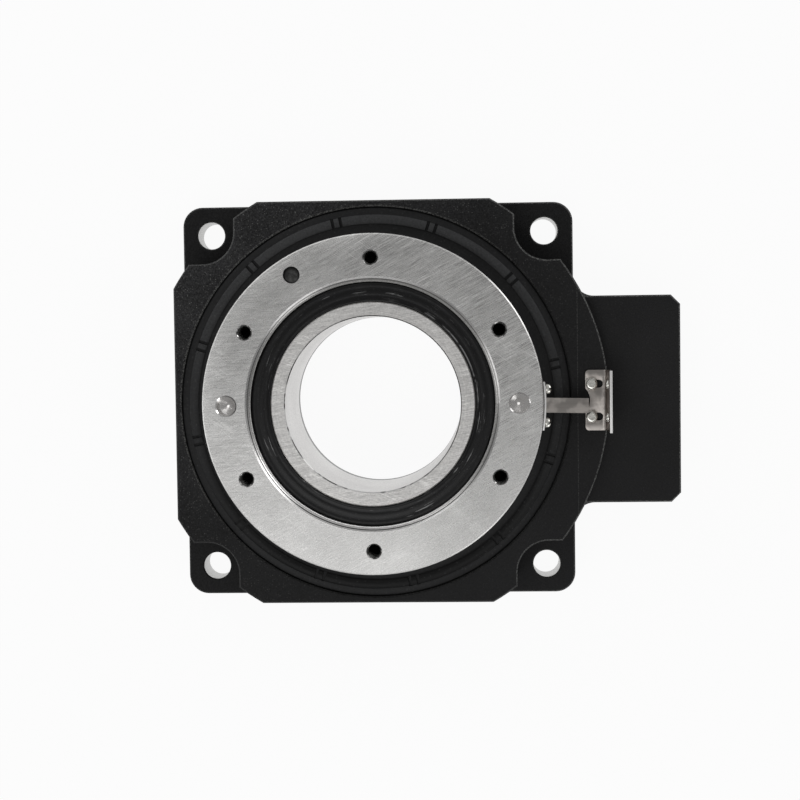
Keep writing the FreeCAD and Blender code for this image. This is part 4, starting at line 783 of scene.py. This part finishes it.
makeBlackFinish("housingBlack", True)
makeBlackFinish("adapterBlack", False)
makeTableSteel("tableSteel", tableFinish)
makeHubSteel("hubSteel", hubFinish)
makeSheetMetal("sheetSteel", sheetFinish)
for name, look in turnedMetals.items():
    makeTurnedMetal(name, *look)
for name, look in grainMetals.items():
    makeGrainMetal(name, *look)
for name, look in rubbers.items():
    makeRubber(name, look)
for name, look in plastics.items():
    makePlastic(name, look)

nodesOf = {  # the CAD nodes that wear each finish
    "housingBlack": ["housing"],
    "adapterBlack": ["motor_adapter"],
    "tableSteel": ["table"],
    "hubSteel": ["centre_hub"],
    "sheetSteel": ["sensor_bracket", "sensor_flag"],
    "raceSteel": [
        "bearing_lock_nut", "bearing_inner_ring", "bearing_outer_ring", "preload_washer",
        "lower_bearing_inner", "lower_bearing_outer", "upper_bearing_inner", "upper_bearing_outer"],
    "gearSteel": ["ring_gear", "pinion_shaft"],
    "rollerSteel": ["bearing_rollers", "lower_bearing_balls", "upper_bearing_balls"],
    "screwSteel": ["hub_screws", "adapter_screws", "gear_screws", "clamp_collar", "clamp_screw"],
    "smallScrewSteel": ["bracket_washers", "bracket_screws", "flag_screws"],
    "innerRubber": ["inner_seal"],
    "outerRubber": ["outer_seal"],
    "gasketRubber": ["hub_gasket"],
    "spacerNylon": ["bearing_spacers"],
    "plugGrey": ["filler_plug", "access_plug"],
}


def dress(piece, finish):
    piece.data.materials.clear()
    piece.data.materials.append(finishes[finish])


for finish, names in nodesOf.items():
    for name in names:
        dress(nodes[name], finish)
print("materials on", sum(len(names) for names in nodesOf.values()), "nodes")


# the finer pieces that stand for plain solids, each made at the origin and copied to its places

def copySet(piece, name, spots, body, finish):
    for index, spot in enumerate(spots):
        twin = copyOf(piece, name + str(index + 1), spot)
        dress(twin, finish)
        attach(twin, body)
        yield twin
    bpy.data.objects.remove(piece)


def outBy(radius, degrees):  # from the main axis
    angle = math.radians(degrees)
    return moveBy(radius * math.cos(angle), radius * math.sin(angle))


def onCircle(count, radius, first=0):
    return [outBy(radius, first + 360 / count * index) for index in range(count)]


def atCorners(across, along):  # of a rectangle round the motor's axis
    corners = ((1, 1), (1, -1), (-1, 1), (-1, -1))
    return [moveBy(motorAxis + across * side, along * end) for side, end in corners]


threadLook = {
    "wall": 2.13,  # just inside the bore's wall
    "crest": 1.93,
    "pitch": 0.8,
    "ridge": 0.82,  # share of the pitch
    "steps": 24,
    "tableCircle": 46,
    "tableLow": 38.4,
    "tableTurns": 11,
    "motorCorner": 23.57,
    "motorLow": 0.6,
    "motorTurns": 6,
}


def makeThread(name, low, turns):  # one helix
    look = threadLook
    piece = startPoint(name, look["wall"], low)
    depth = look["wall"] - look["crest"]
    height = look["pitch"] * look["ridge"]
    for across, level in ((-depth, height / 2), (depth, height / 2), (0, -height)):
        extrudeBy(across, level)
    mergeDoubles()
    bpy.ops.object.mode_set(mode="OBJECT")
    winding = piece.modifiers.new("winding", "SCREW")
    winding.axis = "Z"
    winding.angle = math.tau
    winding.screw_offset = look["pitch"] * mm
    winding.iterations = turns
    winding.steps = winding.render_steps = look["steps"]
    winding.use_merge_vertices = False
    bpy.ops.object.modifier_apply(modifier=winding.name)
    bpy.ops.object.mode_set(mode="EDIT")
    bpy.ops.mesh.select_all(action="DESELECT")
    bpy.ops.mesh.select_non_manifold()
    bpy.ops.mesh.edge_face_add()  # both ends closed
    return cleanUp(piece, smooth=40)


tableThread = makeThread("tableThread", threadLook["tableLow"], threadLook["tableTurns"])
boltSpots = onCircle(6, threadLook["tableCircle"], 30)
for twin in copySet(tableThread, "tableThread", boltSpots, "rotor", "threadSteel"):
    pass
print("table threads cut")

motorThread = makeThread("motorThread", threadLook["motorLow"], threadLook["motorTurns"])
motorSpots = atCorners(threadLook["motorCorner"], threadLook["motorCorner"])
for twin in copySet(motorThread, "motorThread", motorSpots, "base", "threadSteel"):
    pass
print("motor threads cut")


innerSealLook = {
    "outline": [
        (32.28, 44.38), (32.42, 44.52), (32.9, 44.54), (33.06, 44.46), (33.22, 44.36), (34.4, 44.33),
        (34.5, 44.35), (35.7, 44.33), (35.8, 44.31), (37.0, 44.28), (37.1, 44.3), (37.9, 44.27),
        (38.16, 44.22), (38.42, 44.02), (38.42, 40.04), (32.28, 40.04)],
    "steps": 192,
}
innerSeal = lathe("innerSeal", innerSealLook["outline"], innerSealLook["steps"], smooth=60)
dress(innerSeal, "innerRubber")
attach(innerSeal, "rotor")
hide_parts("inner_seal")
print("inner seal turned")


outerSealLook = {
    "outline": [
        (53.58, 30.5), (53.68, 30.9), (53.95, 31.0), (54.3, 30.92), (54.5, 30.8), (57.0, 30.9),
        (57.3, 31.0), (57.46, 31.35), (57.66, 31.56), (60.14, 31.56), (60.3, 31.42), (60.5, 31.15),
        (62.3, 31.1), (62.56, 30.9), (62.62, 30.0), (62.88, 30.0), (62.94, 30.2), (62.94, 25.64),
        (53.58, 25.64)],
    "steps": 216,
    "slotPairs": 12,
    "firstPair": 11.5,
    "slotSize": (3.3, 1.0, 1.7),
    "slotRadius": 58.95,
    "slotLevel": 31.45,
    "slotApart": 2.6,
}


def makeOuterSeal(look):  # raised band with twelve pairs of notches
    piece = lathe("outerSeal", look["outline"], look["steps"], smooth=50)
    bars = []
    for index in range(look["slotPairs"]):
        turn = look["firstPair"] + 360 / look["slotPairs"] * index
        for side in (-0.5, 0.5):
            place = (look["slotRadius"], side * look["slotApart"], look["slotLevel"])
            bars.append(cutterBar(look["slotSize"], place, turn))
    cutAway(piece, bars, smooth=50)
    return piece


outerSeal = makeOuterSeal(outerSealLook)
dress(outerSeal, "outerRubber")
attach(outerSeal, "base")
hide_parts("outer_seal")
print("outer seal turned and notched")


bracketScrewLook = {
    "place": (69.3, 5.25),
    "outline": [
        (0, 34.76), (1.4, 34.76), (1.6, 34.66), (1.72, 34.42), (1.74, 34.3), (1.74, 33.1),
        (1.66, 32.86), (0.98, 32.84), (0.98, 27.7), (0.75, 27.45), (0, 27.45)],
    "knurls": 36,
    "knurlLevels": (33.1, 34.3),
    "knurlDepth": 0.08,
    "socket": 1.9,  # across flats
    "socketLevels": (33.5, 35.2),
    "washer": [
        (1.2, 32.43), (1.2, 32.77), (1.26, 32.8), (1.82, 32.8), (1.88, 32.74), (1.88, 32.46),
        (1.82, 32.41), (1.26, 32.41)],
    "gapSize": (1.4, 0.26, 1.0),
    "gapPlace": (1.55, 0.0, 32.6),
    "gapAngle": 205,
    "turns": (17, 58),  # how the two of them stand
}


def makeBracketScrew(look):  # knurled socket head
    piece = lathe("bracketScrew", look["outline"], look["knurls"], smooth=40)
    bpy.ops.object.mode_set(mode="EDIT")
    bpy.ops.mesh.select_mode(type="FACE")
    bpy.ops.mesh.select_all(action="DESELECT")
    bpy.ops.object.mode_set(mode="OBJECT")
    low, high = look["knurlLevels"]
    for face in piece.data.polygons:
        face.select = abs(face.normal.z) < 0.3 and low * mm < face.center.z < high * mm
    bpy.ops.object.mode_set(mode="EDIT")
    depth = look["knurlDepth"] * mm
    bpy.ops.mesh.inset(thickness=depth / 2, depth=-depth, use_individual=True)
    bpy.ops.object.mode_set(mode="OBJECT")
    cutAway(piece, [cutterHex(look["socket"], *look["socketLevels"])], smooth=30)
    return piece


def makeLockWasher(look):  # split spring washer
    piece = lathe("lockWasher", look["washer"], steps=64, smooth=30)
    cutAway(piece, [cutterBar(look["gapSize"], look["gapPlace"], look["gapAngle"])], smooth=30)
    return piece


bracketScrew = makeBracketScrew(bracketScrewLook)
lockWasher = makeLockWasher(bracketScrewLook)
bracketMasters = (
    (bracketScrew, "bracketScrew", "bracket_screws"),
    (lockWasher, "lockWasher", "bracket_washers"))
for index, side in enumerate((1, -1)):
    x, y = bracketScrewLook["place"]
    spot = moveBy(x, y * side) @ turnBy(bracketScrewLook["turns"][index])
    for master, name, node in bracketMasters:
        twin = copyOf(master, name + str(index + 1), spot)
        dress(twin, "smallScrewSteel")
        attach(twin, "base")
        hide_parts(node)
bpy.data.objects.remove(bracketScrew)
bpy.data.objects.remove(lockWasher)
print("bracket screws and washers set")


flagScrewLook = {
    "outline": [
        (0, 1.76), (0.7, 1.72), (1.15, 1.5), (1.46, 1.1), (1.58, 0.62), (1.58, 0.08), (1.5, 0.0),
        (0.9, 0.0), (0.9, -4.6), (0, -4.6)],
    "seat": 54.24,
    "level": 42.4,
    "apart": 10.7,
    "flagAngle": -1.2,
    "longSlot": (4.0, 0.5, 1.2),
    "longLevel": 1.55,
    "shortSlot": (2.0, 0.5, 1.2),
    "shortLevel": 1.5,
}


def makeFlagScrew(look):  # pan head with a cross, its long slot across the whole head
    piece = lathe("flagScrew", look["outline"], steps=40, smooth=40)
    long = cutterBar(look["longSlot"], (0, 0, look["longLevel"]))
    short = cutterBar(look["shortSlot"], (0, 0, look["shortLevel"]), 90)
    cutAway(piece, [long, short], smooth=35)
    return piece


def flagSpot(look, side):
    seated = moveBy(look["seat"], side * look["apart"] / 2, look["level"])
    return turnBy(look["flagAngle"]) @ seated @ turnBy(90, "Y")


flagScrew = makeFlagScrew(flagScrewLook)
flagSpots = [flagSpot(flagScrewLook, side) for side in (1, -1)]
for twin in copySet(flagScrew, "flagScrew", flagSpots, "rotor", "smallScrewSteel"):
    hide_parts("flag_screws")
print("flag screws set")


fillerPlugLook = {
    "radius": 47.7,
    "angle": 121.2,
    "outline": [
        (0, 47.12), (0.55, 47.14), (0.8, 47.3), (1.7, 47.42), (2.25, 47.4), (2.5, 47.22), (2.62, 46.8),
        (2.62, 43.7), (2.45, 43.52), (0, 43.52)],
}
fillerPlug = lathe("fillerPlug", fillerPlugLook["outline"], steps=48, smooth=50)
placeMesh(fillerPlug, outBy(fillerPlugLook["radius"], fillerPlugLook["angle"]))
dress(fillerPlug, "shadowedPlug")
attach(fillerPlug, "rotor")
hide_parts("filler_plug")

accessPlugLook = {
    "outline": [(0, 2.8), (1.0, 2.95), (1.3, 2.9), (1.46, 2.7), (1.46, 0.15), (1.35, 0.02), (0, 0.02)],
    "place": (95.4, 8.0, 5.05),
    "slot": (2.2, 0.5, 1.0),
    "slotLevel": 2.9,
}
accessPlug = lathe("accessPlug", accessPlugLook["outline"], steps=40, smooth=50)
slotBar = cutterBar(accessPlugLook["slot"], (0, 0, accessPlugLook["slotLevel"]))
cutAway(accessPlug, [slotBar], smooth=50)
placeMesh(accessPlug, moveBy(*accessPlugLook["place"]) @ turnBy(90, "Y"))
dress(accessPlug, "plugGrey")
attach(accessPlug, "base")
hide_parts("access_plug")
print("plugs set")


countersunkLook = {
    "head": 2.78,
    "shank": 1.22,
    "socket": 2.0,
    "socketDeep": 1.2,
    "low": 0.32,
    "rim": (0.15, 0.2),  # chamfer and height of the head's edge
    "tip": 0.25,
    "hubHigh": 6.28,
    "hubCircle": 41.2,
    "adapterHigh": 10.28,
    "adapterCorner": (13, 27),
}


def makeCountersunk(name, look, high):  # head down, with a hexagon socket
    low, head, shank, tip = look["low"], look["head"], look["shank"], look["tip"]
    edge, rise = look["rim"]
    outline = [
        (0, low), (head - edge, low), (head, low + rise), (shank, low + rise + head - shank),
        (shank, high - tip), (shank - tip, high), (0, high)]
    piece = lathe(name, outline, steps=40, smooth=30)
    key = cutterHex(look["socket"], low - 0.5, low + look["socketDeep"])
    cutAway(piece, [key], smooth=30)
    return piece


hubScrew = makeCountersunk("hubScrew", countersunkLook, countersunkLook["hubHigh"])
hubSpots = onCircle(8, countersunkLook["hubCircle"])
for twin in copySet(hubScrew, "hubScrew", hubSpots, "base", "screwSteel"):
    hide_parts("hub_screws")
adapterScrew = makeCountersunk("adapterScrew", countersunkLook, countersunkLook["adapterHigh"])
adapterSpots = atCorners(*countersunkLook["adapterCorner"])
for twin in copySet(adapterScrew, "adapterScrew", adapterSpots, "base", "screwSteel"):
    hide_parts("adapter_screws")
print("screws under the base set")


def finerSheet(node, name, body, width):  # the sheet part with its edges broken, from a merged copy
    piece = copyOf(nodes[node], name, Matrix.Identity(4))
    piece.parent = None
    for key in list(piece.keys()):
        del piece[key]
    pickOnly(piece)
    bpy.ops.object.mode_set(mode="EDIT")
    mergeDoubles()
    bpy.ops.mesh.dissolve_limited(angle_limit=math.radians(1))
    pickOnly(piece)
    edge = piece.modifiers.new("edge", "BEVEL")
    edge.width = width * mm
    edge.segments = 2
    edge.limit_method = "ANGLE"
    edge.angle_limit = math.radians(30)
    bpy.ops.object.modifier_apply(modifier=edge.name)
    bpy.ops.object.shade_smooth_by_angle(angle=math.radians(35))
    dress(piece, "sheetSteel")
    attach(piece, body)
    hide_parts(node)


finerSheet("sensor_bracket", "sensorBracket", "base", 0.07)
finerSheet("sensor_flag", "sensorFlag", "rotor", 0.06)
print("bracket and flag softened")


sensorCollarLook = {
    "outline": [(1.12, 0.02), (1.12, -0.42), (1.2, -0.5), (1.34, -0.44), (1.42, -0.25), (1.46, 0.02)],
    "place": (74.0, 39.6),
    "apart": 10.5,
}


def collarSpot(look, side):
    across, up = look["place"]
    return moveBy(across, side * look["apart"] / 2, up) @ turnBy(90, "Y")


sensorCollar = lathe("sensorCollar", sensorCollarLook["outline"], steps=40, smooth=50)
collarSpots = [collarSpot(sensorCollarLook, side) for side in (1, -1)]
for twin in copySet(sensorCollar, "sensorCollar", collarSpots, "base", "smallScrewSteel"):
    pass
print("collars set round the sensor holes")


# floor, light and camera

studio = {
    "floorSize": 3.0,
    "floorCentre": 0.02,
    "floorColour": (0.95, 0.95, 0.95),
    "floorWhite": 0.94,  # share of plain white that the camera sees over the floor's own shade
    "worldGrey": 0.34,
    "lamps": [  # name, place, size, brightness
        ("lampOver", (-0.2, -0.62, 1.3), 0.9, 1.4),
        ("lampBack", (-0.55, 0.6, 0.45), 0.35, 2.2),
        ("lampRight", (0.72, 0.5, 0.16), 0.35, 3.0),
        ("lampLeft", (-0.78, -0.22, 0.15), 0.35, 1.7),
        ("lampFront", (0.45, -0.65, 0.15), 0.35, 1.8),
    ],
    "target": (0.01, 0.0, 0.02),
}
photoCamera = {  # fitted to the photograph
    "focal": 72.0,
    "place": (0.032683, 0.023334, 0.54586),
    "turn": (0.044, -0.048, 0.011),
}


def makeFloor():
    pickNothing()
    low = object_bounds()[0].z
    bpy.ops.mesh.primitive_plane_add(size=studio["floorSize"], location=(studio["floorCentre"], 0, low))
    floor = bpy.context.object
    floor.name = "floor"
    colour = asColour(studio["floorColour"])
    tree, shader = newMaterial("floorWhite", Roughness=0.8, Base_Color=colour)[:2]
    rays = put(tree, "LightPath").outputs
    seen = larger(tree, rays["Is Camera Ray"], rays["Is Glossy Ray"])
    seen = times(tree, larger(tree, seen, rays["Is Transmission Ray"]), studio["floorWhite"])
    glow = put(tree, "Emission", {"Strength": 1.0}).outputs[0]
    mixed = put(tree, "MixShader", {0: seen, 1: shader.outputs[0], 2: glow}).outputs[0]
    tree.links.new(mixed, tree.nodes["Material Output"].inputs[0])
    dress(floor, "floorWhite")


def makeLight():
    world = bpy.data.worlds.new("studioWorld")
    bpy.context.scene.world = world
    world.use_nodes = True
    tree = world.node_tree
    back = tree.nodes["Background"]
    back.inputs[0].default_value = (1.0, 1.0, 1.0, 1.0)
    rays = put(tree, "LightPath").outputs
    tree.links.new(blendValues(tree, rays["Is Camera Ray"], studio["worldGrey"], 1.0), back.inputs[1])
    for name, place, size, bright in studio["lamps"]:
        lamp = bpy.data.lights.new(name, "AREA")
        lamp.size = size
        lamp.energy = bright * math.pi * size * size  # the brightness of its face, 1 being white
        holder = bpy.data.objects.new(name, lamp)
        bpy.context.scene.collection.objects.link(holder)
        holder.visible_camera = False
        holder.location = place
        aim = Vector(studio["target"]) - Vector(place)
        holder.rotation_euler = aim.to_track_quat("-Z", "Y").to_euler()


def makeCamera():
    data = bpy.data.cameras.new("photoCamera")
    data.lens = photoCamera["focal"]
    data.sensor_width = 36.0
    data.clip_start = 0.01
    data.clip_end = 20.0
    holder = bpy.data.objects.new("photoCamera", data)
    bpy.context.scene.collection.objects.link(holder)
    x, y, z = photoCamera["turn"]
    toView = Matrix.Rotation(z, 4, "Z") @ Matrix.Rotation(y, 4, "Y") @ Matrix.Rotation(x, 4, "X")
    holder.matrix_world = Matrix.Translation(photoCamera["place"]) @ toView.transposed()
    bpy.context.scene.camera = holder


makeFloor()
makeLight()
makeCamera()
bpy.context.scene.view_settings.view_transform = "Standard"
print("floor, light and camera set")
